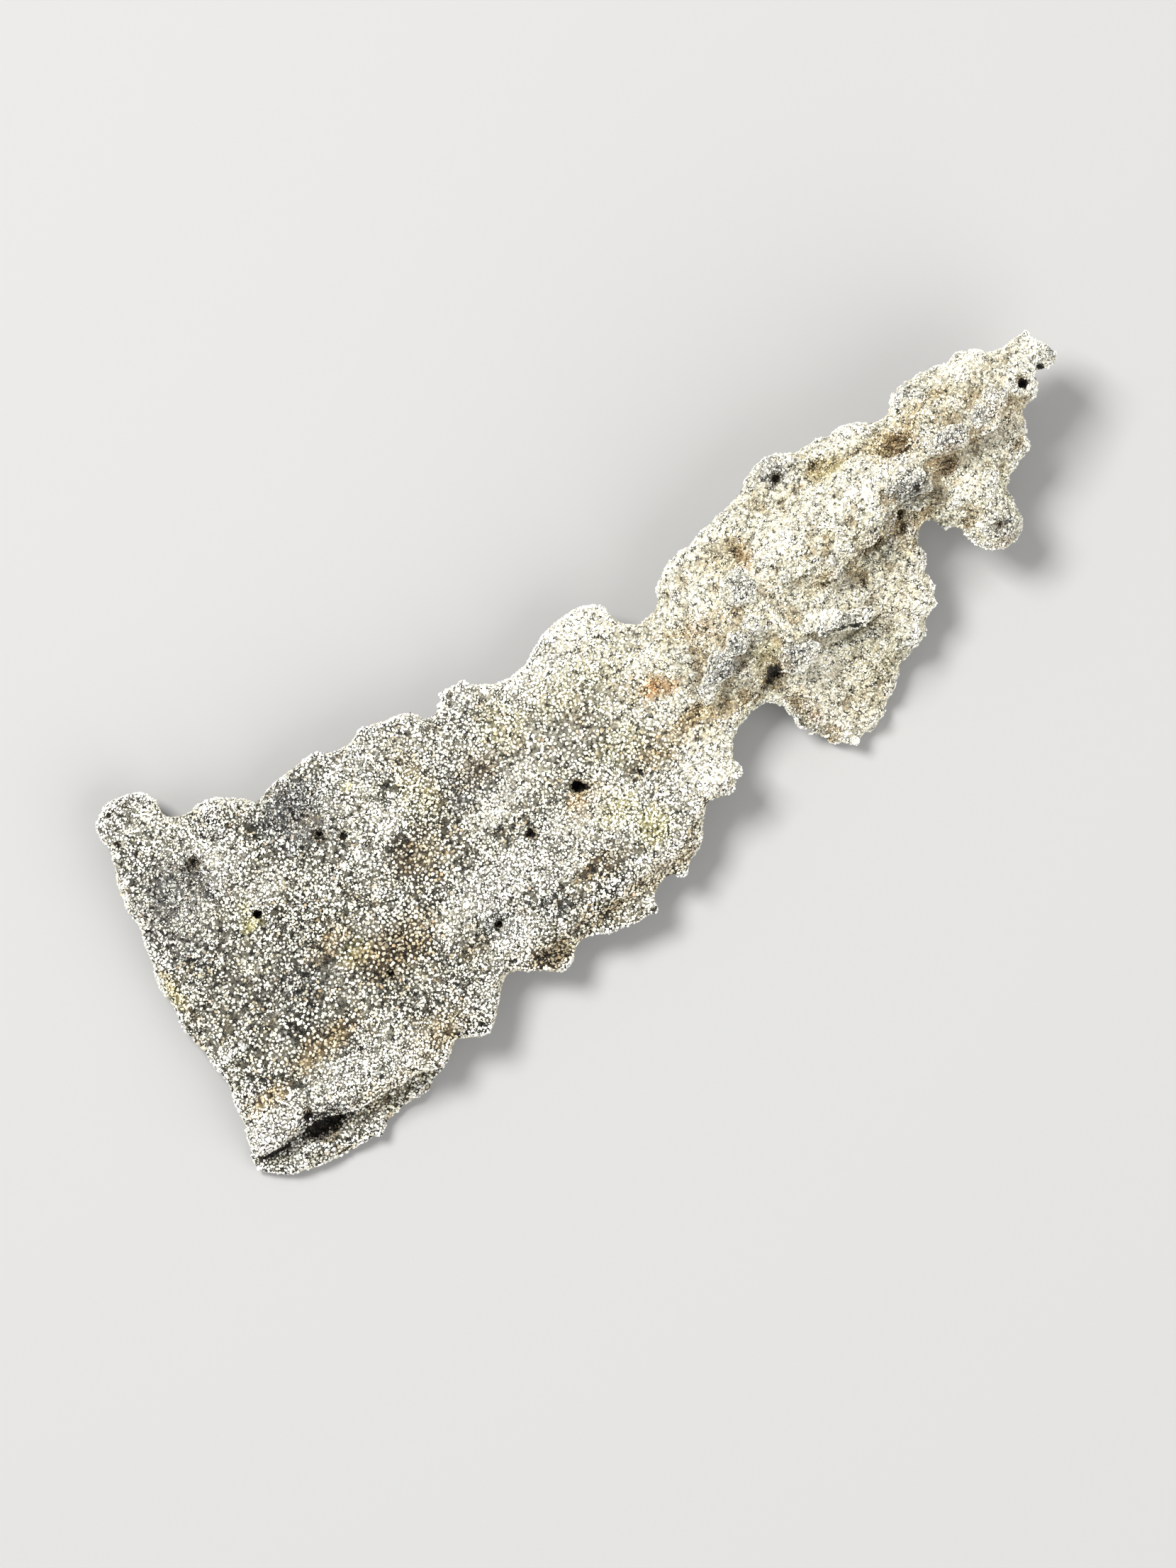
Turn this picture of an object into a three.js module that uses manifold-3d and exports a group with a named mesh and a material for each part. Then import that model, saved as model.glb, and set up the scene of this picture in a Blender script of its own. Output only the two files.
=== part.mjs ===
// A fulgurite: dune sand that lightning melted and welded into one crusted, branching piece.
// It lies as it rests on a table. A broad flat blade (a tube that collapsed on itself) runs
// from the broken end at -X to a winged ridge that tapers to the tip at +X.
// Millimetres, +Z up, origin under the middle of the piece, on the surface that it lies on.
//
// The body is one field of slabs, limbs and lumps that flow into each other, turned into
// facets on a lattice. Beads are then joined to it, and pores and bore slits cut from it.

import * as THREE from 'three';
import { MarchingCubes } from 'three/addons/objects/MarchingCubes.js';
import { ImprovedNoise } from 'three/addons/math/ImprovedNoise.js';
import { mergeVertices } from 'three/addons/utils/BufferGeometryUtils.js';
import Module from 'manifold-3d';

const { clamp, lerp, smoothstep } = THREE.MathUtils;

// ---- Driving dimensions -------------------------------------------------------------------

const LENGTH = 59.5; // broken end to tip
const PLAN_CELL = 0.82; // pitch of the lattice in plan
const HEIGHT_CELL = 0.58; // pitch of the lattice in height
const LATTICE = 78; // lattice points along each side
const MOST_FACETS = 60000; // room for the facets before they are merged
const FACET_SLACK = 0.125; // facets may leave the field's surface by this much when they merge
const BODY_TOP = 10.4; // nothing reaches higher than this

const WALL = 1.3; // thickness of one wall of the collapsed tube
const BLADE_END_X = -28; // the blade's heights run from here
const BLADE_LENGTH = 32; // over this length
const BLADE_END_TOP = 3.2; // height of the blade's face at the broken end
const BLADE_NECK_TOP = 5.2; // and where it narrows to the neck
const BLADE_END_UNDER = 0.5; // height of its underside at the broken end
const BLADE_NECK_UNDER = 2.4; // and at the neck
const BLADE_DISH = 0.5; // how far its middle sinks below its rims
const BLADE_MID_Y = -1.8;
const BLADE_HALF_WIDTH = 7;
const RIM_ROUND = 0.9; // radius of the blade's rounded rim
const LEDGE_DROP = 1.1; // the lower wall shows this far below the blade's face
const LIP_TO_X = -17.5; // the lower lip shows from the broken end to here
const LIP_TO_Y = -5.5; // and up to here under the blade
const LIP_UNDER = 0.15; // its underside
const LIP_ROUND = 0.55;
const NECK_X = [3, 8]; // the blade turns into the ridge between these
const NECK_TOP = 4.9; // height of the face where they meet
const NECK_UNDER = 3.0;

const WING_TOP = 5.8; // height of the left wing's edge
const WING_THICK = 1.9;
const CREST_RISE = 2.3; // the wing's face climbs this far to the ridge
const CREST_Y = 0.3; // the crest runs along this line
const WING_REACH = 3.8; // and falls to the wing's height this far from it
const SHOULDER_REACH = 6.0; // or this far, on the lower side near the neck
const SHOULDER_X = [12, 14.5]; // the shoulder narrows between these
const FIN_ROOT_TOP = 5.7; // height of the fin's face at the ridge
const FIN_TIP_TOP = 1.7; // and at its lowest edge, which touches the table
const FIN_THICK = 1.9;
const FIN_ROOT_Y = -2.6;
const FIN_REACH = 7.2; // from its root to its lowest edge, in plan
const HOOK_TOP = 5.9; // height of the hook's face at the ridge
const HOOK_DROP = 1.3; // and how far it falls to its end
const HOOK_THICK = 2.2;
const HOOK_ROOT_Y = -0.5;
const HOOK_REACH = 5.5;
const KEEL_X = 13.6; // the keel under the left wing touches the table here
const KEEL_Y = 2.9;
const KEEL_HALF_THICK = 0.95;
const KEEL_FOOT = -0.2; // its lowest point, before the table cuts it flat
const KEEL_CURVE = 0.11; // how fast its lower edge climbs away
const KEEL_BEND = 0.045; // how fast it bends towards the axis

const SWELL_RELIEF = 0.34; // the crust's slow swells
const SWELL_WAVE = 4.6;
const KNOB_RELIEF = 0.2; // its smaller knobs, on the blade
const RIDGE_KNOB_RELIEF = 0.36; // and on the ridge, the fin and the hook
const KNOB_WAVE = 1.7;

const SHARP_JOIN = 0.3; // width of the fillet where a slab overlaps another
const LUMP_JOIN = 0.45; // where a limb or a lump sits on the body
const SOFT_JOIN = 1.2; // where two forms flow into each other

// ---- Outlines in plan, [x, y], each a closed smooth curve ----------------------------------

const BLADE = [
  [-29.6, -8.2], [-28.9, -7.0], [-28.2, -4.0], [-28.2, -1.0], [-27.8, 2.2], [-26.9, 4.4],
  [-26.7, 6.9], [-25.3, 9.6], [-24.6, 10.8], [-23.5, 11.1], [-22.2, 10.3], [-22.7, 8.8],
  [-21.9, 8.2], [-20.0, 8.3], [-18.6, 7.3], [-17.8, 6.1], [-16.9, 6.7], [-14.3, 6.8],
  [-12.6, 6.0], [-11.4, 6.2], [-10.2, 5.8], [-8.6, 5.4], [-7.9, 3.9], [-7.0, 5.3],
  [-5.6, 4.9], [-4.5, 4.0], [-3.0, 3.9], [-0.6, 4.6], [2.3, 4.3], [3.3, 2.7], [4.2, 1.7],
  [6.0, 0.5], [8.0, -1.0], [8.6, -3.5], [7.1, -5.0], [4.6, -5.4], [3.0, -6.1], [3.3, -7.2],
  [2.3, -8.0], [1.2, -7.5], [0.3, -8.1], [-0.9, -9.0], [-2.4, -9.3], [-3.6, -8.9],
  [-5.2, -9.2], [-7.4, -8.7], [-9.4, -8.9], [-12.0, -8.0], [-13.6, -9.1], [-15.7, -10.6],
  [-16.9, -9.9], [-18.6, -10.5], [-20.6, -9.9], [-23.4, -9.5], [-26.2, -8.5], [-28.4, -8.7],
];
const LEDGE = [
  [-13.6, -8.0], [-12.2, -9.0], [-11.4, -9.5], [-10.7, -10.4], [-9.5, -10.3], [-8.8, -9.7],
  [-7.2, -10.2], [-5.0, -10.7], [-3.9, -9.7], [-2.5, -10.2], [-0.8, -9.6], [0.2, -8.2],
  [-2.0, -6.5], [-8.0, -6.5],
];
const LOWER_LIP = [
  [-29.2, -7.4], [-30.1, -8.8], [-29.1, -10.1], [-26.9, -10.8], [-25.3, -11.2],
  [-23.3, -11.5], [-21.1, -11.3], [-19.2, -11.0], [-17.6, -10.2], [-18.5, -8.0], [-24.0, -6.5],
];
const RIDGE = [
  [3.2, -1.2], [4.0, 1.8], [5.4, 2.9], [6.6, 3.6], [9.0, 3.8], [11.6, 4.0], [12.9, 4.5],
  [14.3, 4.9], [15.8, 4.0], [18.7, 3.8], [20.2, 2.9], [21.7, 3.7], [22.9, 3.4], [24.2, 2.9],
  [26.3, 3.0], [26.9, 1.9], [28.9, 1.9], [29.1, 0.8], [28.2, -0.4], [26.4, -0.8],
  [24.6, -1.0], [21.4, -0.9], [20.0, -1.6], [19.2, -2.3], [17.9, -1.6], [16.8, -2.2],
  [14.3, -2.5], [13.9, -4.0], [13.2, -4.9], [11.8, -4.8], [10.4, -4.3], [9.2, -5.0],
  [8.2, -4.5], [6.6, -4.1], [5.0, -3.6],
];
const FIN = [
  [18.4, -1.8], [17.6, -4.4], [17.2, -6.2], [16.2, -6.9], [14.6, -7.8], [13.1, -8.3],
  [11.0, -9.7], [9.2, -10.1], [7.9, -9.5], [7.3, -7.6], [7.3, -5.6], [8.6, -2.8],
];
const HOOK = [
  [18.2, -0.6], [18.6, -3.1], [20.0, -4.2], [20.4, -5.5], [21.6, -6.6], [23.1, -5.7],
  [23.0, -4.0], [24.3, -3.2], [25.5, -3.0], [26.2, -1.4], [27.7, -0.6], [26.0, 0.8],
];

// ---- Limbs, [x, y, z, radius] along each ----------------------------------------------------

const CREST = [
  [7.6, -1.4, 5.5, 1.2], [9.6, -0.8, 6.2, 1.6], [12.0, -0.2, 6.9, 1.7], [15.0, 0.3, 7.5, 1.6],
  [18.0, 0.5, 7.8, 1.4], [20.2, 0.3, 7.3, 1.1], [22.4, 0.8, 6.9, 1.3], [25.4, 1.1, 6.5, 1.2],
  [27.4, 0.9, 6.1, 0.8],
];
const LIMBS = [
  [[4.4, -3.0, 5.2, 0.7], [6.2, -2.4, 5.9, 0.8], [8.4, -1.7, 7.1, 0.8]], // grey nub ridge
  [[10.2, -3.2, 6.4, 0.9], [11.8, -4.0, 6.7, 0.7], [13.2, -4.5, 6.5, 0.6]], // finger
  [[9.0, -3.2, 6.0, 0.9], [9.3, -4.2, 6.1, 1.0]], // bulb
  [[27.8, 0.5, 6.0, 0.6], [29.05, 0.2, 5.9, 0.6]], // tip nub
  [[21.6, -1.8, 5.3, 1.5], [21.8, -4.0, 4.6, 1.3], [21.7, -5.3, 4.2, 1.25]], // hook arm
  [[-28.9, -8.0, 2.3, 0.85], [-27.4, -7.7, 2.5, 0.9]], // corner of the broken end
  [[-24.6, 9.8, 2.3, 1.3], [-23.6, 8.0, 2.4, 1.5]], // shoulder knob
  [[-14.4, -5.2, 2.6, 1.1], [-9.0, -5.4, 3.0, 1.3], [-3.5, -6.4, 3.4, 1.3]], // low swell
  [[-20.0, 1.6, 1.6, 0.9], [-10.0, 0.4, 2.1, 1.0], [0.0, -1.0, 2.9, 1.1], [7.0, 0.6, 4.1, 1.2]],
];
const FEET = [
  [[-24.2, 9.7, 0.7, 1.15], [-23.4, 8.4, 1.2, 1.2]],
  [[-27.4, -9.3, 0.7, 1.05], [-25.8, -9.6, 0.9, 1.0]],
  [[-21.0, -9.8, 0.7, 1.0]],
  [[9.4, -9.1, 0.7, 1.0], [10.4, -8.4, 0.95, 1.0]],
  [[KEEL_X - 0.6, KEEL_Y, 0.75, 1.1], [KEEL_X + 0.6, KEEL_Y - 0.1, 0.75, 1.1]],
];

// ---- Lumps, beads and pores, [x, y, radius] on the upper face --------------------------------

const LUMPS = [
  // along the ridge, from the neck to the tip
  [5.0, -2.7, 0.8], [6.3, -2.3, 0.85], [7.5, -1.9, 0.7], [8.6, 0.3, 0.95], [10.7, 0.8, 0.6],
  [12.2, 0.7, 0.55], [11.2, -0.7, 0.8], [12.5, -1.1, 0.7], [13.4, -1.6, 0.85], [14.2, 0.4, 0.7],
  [15.2, -1.3, 0.95], [16.6, -1.1, 0.75], [16.9, 1.1, 0.75], [18.7, -0.5, 1.15], [19.6, -1.1, 0.8],
  [21.8, 0.1, 1.05], [22.9, -0.1, 0.7], [24.3, -0.1, 0.95], [25.6, 0.3, 0.7],
  // along the edge of the left wing
  [6.9, 3.2, 0.6], [9.0, 3.3, 0.55], [12.6, 3.9, 0.6], [14.1, 3.9, 0.95], [16.2, 3.4, 0.6],
  [18.3, 3.1, 0.6], [21.9, 2.7, 0.85], [24.8, 2.2, 0.8], [26.0, 2.2, 0.8], [28.3, 1.2, 0.6],
  // the fin and the hook
  [9.7, -5.3, 0.6], [12.6, -6.6, 0.65], [11.3, -6.0, 0.5], [15.9, -5.8, 0.75], [14.3, -7.0, 0.6],
  [9.3, -8.9, 0.7], [16.4, -4.3, 0.5], [22.5, -3.2, 0.8], [21.0, -5.2, 0.8], [22.4, -5.2, 0.75],
  [24.4, -2.2, 0.65], [20.5, -2.9, 0.6],
  // the blade and its lips
  [-20.2, 7.2, 0.95], [-25.8, 7.2, 0.85], [-24.4, 5.4, 0.8], [-16.0, 5.4, 0.95], [-12.0, 5.3, 0.7],
  [-18.0, 3.6, 0.6], [-9.6, 4.6, 0.6], [-3.6, 2.9, 0.6], [0.9, 3.4, 0.7], [1.8, -6.9, 0.85],
  [-1.6, -8.0, 0.7], [-5.6, -8.4, 0.7], [-9.0, -7.2, 0.8], [-11.9, -6.0, 0.8], [-13.6, -8.2, 0.7],
  [-16.4, -9.2, 0.9], [-19.6, -8.9, 0.6], [-22.4, -8.6, 0.6], [-26.6, -3.2, 0.6], [-26.4, 0.8, 0.6],
  [-4.8, -9.9, 0.6], [-10.2, -9.7, 0.6], [-20.4, -10.4, 0.6], [-23.4, -10.6, 0.6],
];
const UNDER_LUMPS = [
  [-18.5, 4.0, 1.1], [-13.0, -5.5, 1.2], [-6.0, 2.4, 1.0], [-1.5, -5.5, 1.1], [-19.0, -2.6, 1.0],
  [15.5, -1.0, 1.1], [21.5, 1.0, 1.1], [25.0, 0.6, 0.9], [12.0, -5.5, 1.0], [-9.0, -2.4, 0.9],
];
// Shallow hollows of the blade's face, [x, y, radius, depth].
const DENTS = [
  [-5.5, -6.9, 1.6, 0.4], [-16.5, -4.6, 2.0, 0.35], [-22.8, 5.6, 1.8, 0.4],
  [-16.6, 4.3, 1.6, 0.3], [-12.6, -0.8, 1.8, 0.3], [-22.5, -5.6, 1.8, 0.35],
  [2.2, -1.4, 1.5, 0.3], [-4.2, -3.1, 1.3, 0.35], [-8.5, 1.2, 1.8, 0.25],
];
const BEADS = [
  [3.0, -7.2, 0.5], [2.2, -7.8, 0.42], [-8.7, 5.2, 0.45], [-7.0, 5.1, 0.42], [-5.7, 4.8, 0.4],
  [-11.4, 6.0, 0.4], [-10.2, 5.6, 0.36], [12.6, 4.2, 0.45], [22.9, 3.2, 0.45],
  [25.2, -2.6, 0.5], [23.2, -3.6, 0.42], [26.4, -0.9, 0.45],
  [22.7, -5.0, 0.5], [-15.6, -10.1, 0.45], [-4.9, -10.3, 0.5], [-2.4, -9.8, 0.45],
  [-7.2, -9.8, 0.42], [-10.2, -10.0, 0.45], [13.0, -7.9, 0.45], [10.8, -9.2, 0.42],
  [16.4, -6.4, 0.42], [-23.3, -11.1, 0.4], [14.6, -7.4, 0.4],
  [9.0, -9.7, 0.42], [-18.6, -10.1, 0.42],
];
const PORES = [
  [-4.1, -2.95, 0.5], [-7.5, -3.5, 0.34], [-21.5, 1.8, 0.36], [-16.4, 3.2, 0.42],
  [-15.4, 2.4, 0.3], [-22.6, 5.9, 0.55], [-25.1, 9.0, 0.4], [-11.7, -6.2, 0.45],
  [-17.8, -4.9, 0.4], [13.8, 3.6, 0.42], [26.95, -0.1, 0.42], [28.2, -0.1, 0.34],
  [8.2, -8.8, 0.45], [7.8, -6.6, 0.4], [-25.8, -8.3, 0.5], [-8.7, -7.3, 0.35],
];

// Creases and hollows where two melts met: place, half sizes with the depth last, turn about Z.
const CREASES = [
  { at: [12.1, -5.15], half: [1.8, 0.36, 0.7], turn: -0.2 }, // under the finger
  { at: [7.6, -4.5], half: [0.75, 0.5, 0.8], turn: 0.3 },
  { at: [15.8, -2.3], half: [1.4, 0.3, 0.5], turn: 0.05 },
  { at: [17.7, -1.9], half: [0.95, 0.42, 0.7], turn: 1.2 },
  { at: [18.9, -2.2], half: [0.8, 0.3, 0.6], turn: -0.2 },
  { at: [23.6, -0.95], half: [1.2, 0.28, 0.4], turn: 0.1 },
  { at: [14.4, -3.1], half: [0.8, 0.28, 0.5], turn: 1.4 },
  { at: [12.7, -2.3], half: [0.7, 0.35, 0.5], turn: -0.4 },
  { at: [19.7, 1.3], half: [1.05, 0.75, 0.8], turn: 0.2 },
  { at: [21.2, -1.1], half: [0.85, 0.68, 0.8], turn: 0.3 },
  { at: [9.9, 1.6], half: [0.65, 0.3, 0.6], turn: 1.3 },
  { at: [15.9, 2.9], half: [0.8, 0.5, 0.4], turn: -0.5 },
  { at: [2.6, -3.7], half: [1.5, 0.45, 0.4], turn: 0.2 },
  { at: [-10.6, -9.2], half: [1.5, 0.5, 0.5], turn: -0.3 },
];

// The collapsed bore shows as slits and one hollow: middle, half sizes, turn about Z.
const BORE = [
  { at: [-28.4, -9.0, 1.8], half: [2.2, 1.4, 0.3], turn: -0.1 },
  { at: [-25.4, -9.2, 1.8], half: [1.3, 0.95, 1.1], turn: -0.15 },
  { at: [-21.4, -10.3, 1.7], half: [2.4, 1.0, 0.3], turn: 0.05 },
  { at: [-28.4, -2.0, 1.85], half: [1.3, 4.6, 0.32], turn: 0.02 },
];

// ---- The field: depth below the surface in millimetres, negative outside -------------------

const noise = new ImprovedNoise();

// Joins two depths with a fillet of about the given width.
function blend(a, b, width) {
  const near = Math.max(width - Math.abs(a - b), 0) / width;
  return Math.max(a, b) + near * near * width / 4;
}

function closedRing(points) {
  const STEPS = 4;
  const knots = points.map(([x, y]) => new THREE.Vector3(x, y, 0));
  const curve = new THREE.CatmullRomCurve3(knots, true, 'centripetal');
  return curve.getPoints(points.length * STEPS);
}

// How far a place in plan lies inside a ring, negative outside.
function insideRing(ring, x, y) {
  let nearest = Infinity;
  let inside = false;
  for (let i = 1; i < ring.length; i += 1) {
    const [a, b] = [ring[i - 1], ring[i]];
    const [ex, ey] = [b.x - a.x, b.y - a.y];
    const along = clamp(((x - a.x) * ex + (y - a.y) * ey) / (ex * ex + ey * ey), 0, 1);
    nearest = Math.min(nearest, Math.hypot(x - a.x - along * ex, y - a.y - along * ey));
    if ((a.y > y) !== (b.y > y) && x < a.x + ex * (y - a.y) / ey) inside = !inside;
  }
  return inside ? nearest : -nearest;
}

// A slab between two heights, with its rim rounded.
function slab(plan, z, under, top, round) {
  const half = (top - under) / 2;
  const radius = Math.min(round, half);
  const across = radius - plan;
  const up = Math.abs(z - (top + under) / 2) - half + radius;
  const corner = Math.hypot(Math.max(across, 0), Math.max(up, 0));
  return radius - corner - Math.min(Math.max(across, up), 0);
}

// A limb of changing thickness through its points; one point makes a ball.
function limb(points, x, y, z) {
  const [[x0, y0, z0, r0]] = points;
  let depth = r0 - Math.hypot(x - x0, y - y0, z - z0);
  for (let i = 1; i < points.length; i += 1) {
    const [ax, ay, az, ar] = points[i - 1];
    const [bx, by, bz, br] = points[i];
    const [ex, ey, ez] = [bx - ax, by - ay, bz - az];
    const reach = (x - ax) * ex + (y - ay) * ey + (z - az) * ez;
    const t = clamp(reach / (ex * ex + ey * ey + ez * ez), 0, 1);
    const gap = Math.hypot(x - ax - t * ex, y - ay - t * ey, z - az - t * ez);
    depth = Math.max(depth, lerp(ar, br, t) - gap);
  }
  return depth;
}

const OUTLINES = { BLADE, LEDGE, LOWER_LIP, RIDGE, FIN, HOOK };
const rings = Object.entries(OUTLINES).map(([name, points]) => [name, closedRing(points)]);

// The depths in plan at one place, worked out once for all heights above it.
function planDepths(x, y) {
  return Object.fromEntries(rings.map(([name, ring]) => [name, insideRing(ring, x, y)]));
}

function bladeTop(x, y) {
  const along = clamp((x - BLADE_END_X) / BLADE_LENGTH, 0, 1);
  const across = clamp((y - BLADE_MID_Y) / BLADE_HALF_WIDTH, -1, 1);
  let top = lerp(BLADE_END_TOP, BLADE_NECK_TOP, along) - BLADE_DISH * (1 - across * across);
  for (const [dx, dy, radius, depth] of DENTS) {
    top -= depth * Math.exp(-((x - dx) ** 2 + (y - dy) ** 2) / radius ** 2);
  }
  return top;
}

function bladeDepth(plan, x, y, z) {
  const along = clamp((x - BLADE_END_X) / BLADE_LENGTH, 0, 1);
  const overLip = smoothstep(-y, -LIP_TO_Y, 3 - LIP_TO_Y) * smoothstep(-x, -LIP_TO_X, 2.5 - LIP_TO_X);
  const under = lerp(BLADE_END_UNDER, BLADE_NECK_UNDER, along) + WALL * overLip;
  return slab(plan.BLADE, z, under, bladeTop(x, y), RIM_ROUND);
}

function ledgeDepth(plan, x, y, z) {
  const top = bladeTop(x, y) - LEDGE_DROP;
  return slab(plan.LEDGE, z, top - WALL, top, 0.6);
}

function ridgeDepth(plan, x, y, z) {
  const shoulder = lerp(SHOULDER_REACH, WING_REACH, smoothstep(x, ...SHOULDER_X));
  const reach = y < 0 ? shoulder : WING_REACH;
  const toCrest = 1 - clamp(Math.abs(y - CREST_Y) / reach, 0, 1);
  const fade = smoothstep(x, ...NECK_X);
  const top = lerp(NECK_TOP, WING_TOP + CREST_RISE * toCrest, fade);
  const under = lerp(NECK_UNDER, WING_TOP - WING_THICK - 0.6 * toCrest, fade);
  return slab(plan.RIDGE, z, under, top, RIM_ROUND);
}

function finDepth(plan, x, y, z) {
  const down = clamp((FIN_ROOT_Y - y) / FIN_REACH, 0, 1);
  const top = lerp(FIN_ROOT_TOP, FIN_TIP_TOP, down) + 0.5 * smoothstep(x, 14, 18) * down;
  return slab(plan.FIN, z, top - FIN_THICK, top, RIM_ROUND);
}

function hookDepth(plan, x, y, z) {
  const top = HOOK_TOP - HOOK_DROP * clamp((HOOK_ROOT_Y - y) / HOOK_REACH, 0, 1);
  return slab(plan.HOOK, z, top - HOOK_THICK, top, RIM_ROUND);
}

// A thin wing that hangs under the ridge and stands on the table.
function keelDepth(x, y, z) {
  const away = (x - KEEL_X) ** 2;
  const middle = KEEL_Y - KEEL_BEND * away;
  const inHeight = Math.min(z - KEEL_FOOT - KEEL_CURVE * away, WING_TOP - z);
  return slab(inHeight, y, middle - KEEL_HALF_THICK, middle + KEEL_HALF_THICK, RIM_ROUND);
}

function bodyDepth(plan, x, y, z) {
  let depth = bladeDepth(plan, x, y, z);
  depth = blend(depth, ledgeDepth(plan, x, y, z), SHARP_JOIN);
  depth = blend(depth, slab(plan.LOWER_LIP, z, LIP_UNDER, WALL, LIP_ROUND), SHARP_JOIN);
  depth = blend(depth, ridgeDepth(plan, x, y, z), SOFT_JOIN);
  depth = blend(depth, finDepth(plan, x, y, z), LUMP_JOIN);
  depth = blend(depth, hookDepth(plan, x, y, z), LUMP_JOIN);
  depth = blend(depth, keelDepth(x, y, z), SOFT_JOIN);
  depth = blend(depth, limb(CREST, x, y, z), SOFT_JOIN);
  for (const points of [...LIMBS, ...FEET]) {
    depth = blend(depth, limb(points, x, y, z), LUMP_JOIN);
  }
  const knobs = lerp(KNOB_RELIEF, RIDGE_KNOB_RELIEF, smoothstep(x, 1, 7));
  depth += SWELL_RELIEF * noise.noise(x / SWELL_WAVE, y / SWELL_WAVE, z / SWELL_WAVE);
  depth += knobs * noise.noise(x / KNOB_WAVE, y / KNOB_WAVE, z / KNOB_WAVE);
  return depth;
}

// The height of the upper or lower face at a place in plan.
function faceHeight(x, y, fromBelow) {
  const STEP = 0.05;
  const plan = planDepths(x, y);
  let z = fromBelow ? 0 : BODY_TOP;
  while (z >= 0 && z <= BODY_TOP && bodyDepth(plan, x, y, z) < 0) z += fromBelow ? STEP : -STEP;
  return z;
}

// ---- Facets ---------------------------------------------------------------------------------

const MIDDLE = LATTICE / 2; // the lattice's middle point, at the origin in plan

function bodyGeometry() {
  const OUTSIDE = -1;
  const CLEAR = 0.04; // no lattice point lies nearer the surface, so no facet shrinks to nothing
  const SUNK = 0.2; // a lump's middle lies this share of its radius below the face
  const lumps = [
    ...LUMPS.map(([x, y, r]) => [[x, y, faceHeight(x, y, false) - SUNK * r, r]]),
    ...UNDER_LUMPS.map(([x, y, r]) => [[x, y, faceHeight(x, y, true) + SUNK * r, r]]),
  ];
  const skin = new MarchingCubes(LATTICE, new THREE.MeshStandardMaterial(), false, false, MOST_FACETS);
  skin.isolation = 0;
  for (let i = 0; i < LATTICE; i += 1) {
    for (let j = 0; j < LATTICE; j += 1) {
      const [x, y] = [(i - MIDDLE) * PLAN_CELL, (j - MIDDLE) * PLAN_CELL];
      const plan = planDepths(x, y);
      for (let k = 0; k < LATTICE; k += 1) {
        const z = (k - MIDDLE) * HEIGHT_CELL + BODY_TOP / 2;
        let depth = OUTSIDE;
        if (z > -WALL && z < BODY_TOP + WALL) {
          depth = bodyDepth(plan, x, y, z);
          for (const lump of lumps) depth = blend(depth, limb(lump, x, y, z), LUMP_JOIN);
        }
        if (Math.abs(depth) < CLEAR) depth = depth < 0 ? -CLEAR : CLEAR;
        skin.field[i + LATTICE * (j + LATTICE * k)] = depth;
      }
    }
  }
  skin.update();
  const corners = skin.positionArray.slice(0, skin.count * 3);
  const geometry = new THREE.BufferGeometry();
  geometry.setAttribute('position', new THREE.BufferAttribute(corners, 3));
  geometry.scale(PLAN_CELL * MIDDLE, PLAN_CELL * MIDDLE, HEIGHT_CELL * MIDDLE);
  geometry.translate(0, 0, BODY_TOP / 2);
  return geometry;
}

// ---- Joining and cutting ----------------------------------------------------------------------

const wasm = await Module();
wasm.setup();

function toSolid(geometry) {
  geometry.deleteAttribute('normal');
  geometry.deleteAttribute('uv');
  const merged = mergeVertices(geometry, 1e-4);
  const vertProperties = new Float32Array(merged.attributes.position.array);
  const triVerts = new Uint32Array(merged.index.array);
  return new wasm.Manifold(new wasm.Mesh({ numProp: 3, vertProperties, triVerts }));
}

function toGeometry(solid) {
  const mesh = solid.getMesh();
  const geometry = new THREE.BufferGeometry();
  geometry.setAttribute('position', new THREE.BufferAttribute(mesh.vertProperties, 3));
  geometry.setIndex(new THREE.BufferAttribute(mesh.triVerts, 1));
  return geometry;
}

function ellipsoid([x, y, z], [a, b, c], turn, detail) {
  const geometry = new THREE.IcosahedronGeometry(1, detail);
  geometry.scale(a, b, c);
  geometry.rotateZ(turn);
  geometry.translate(x, y, z);
  return toSolid(geometry);
}

function box(width, height, middleZ) {
  return toSolid(new THREE.BoxGeometry(width, width, height).translate(0, 0, middleZ));
}

let solid = toSolid(bodyGeometry());
for (const [x, y, radius] of BEADS) {
  const z = faceHeight(x, y, false) - 0.4 * radius;
  solid = solid.add(ellipsoid([x, y, z], [1.1 * radius, radius, radius], x + 2 * y, 0));
}
for (const [x, y, radius] of PORES) {
  const z = faceHeight(x, y, false);
  solid = solid.subtract(ellipsoid([x, y, z], [radius, radius, 1.5 * radius], x, 0));
}
for (const { at: [x, y], half, turn } of CREASES) {
  const z = faceHeight(x, y, false);
  solid = solid.subtract(ellipsoid([x, y, z], half, turn, 1));
}
for (const { at, half, turn } of BORE) solid = solid.subtract(ellipsoid(at, half, turn, 1));
solid = solid.simplify(FACET_SLACK);
solid = solid.subtract(box(2 * LENGTH, LENGTH, -LENGTH / 2)); // the flats that it rests on

const geometry = toGeometry(solid);
geometry.computeBoundingBox();
const { min, max } = geometry.boundingBox;

const fulgurite = new THREE.Mesh(
  geometry,
  new THREE.MeshStandardMaterial({ color: 0xc9c1ad, roughness: 0.9, metalness: 0 }),
);
fulgurite.name = 'fulgurite';
fulgurite.position.set(-(min.x + max.x) / 2, -(min.y + max.y) / 2, -min.z);

const group = new THREE.Group();
group.add(fulgurite);

export default group;
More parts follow.
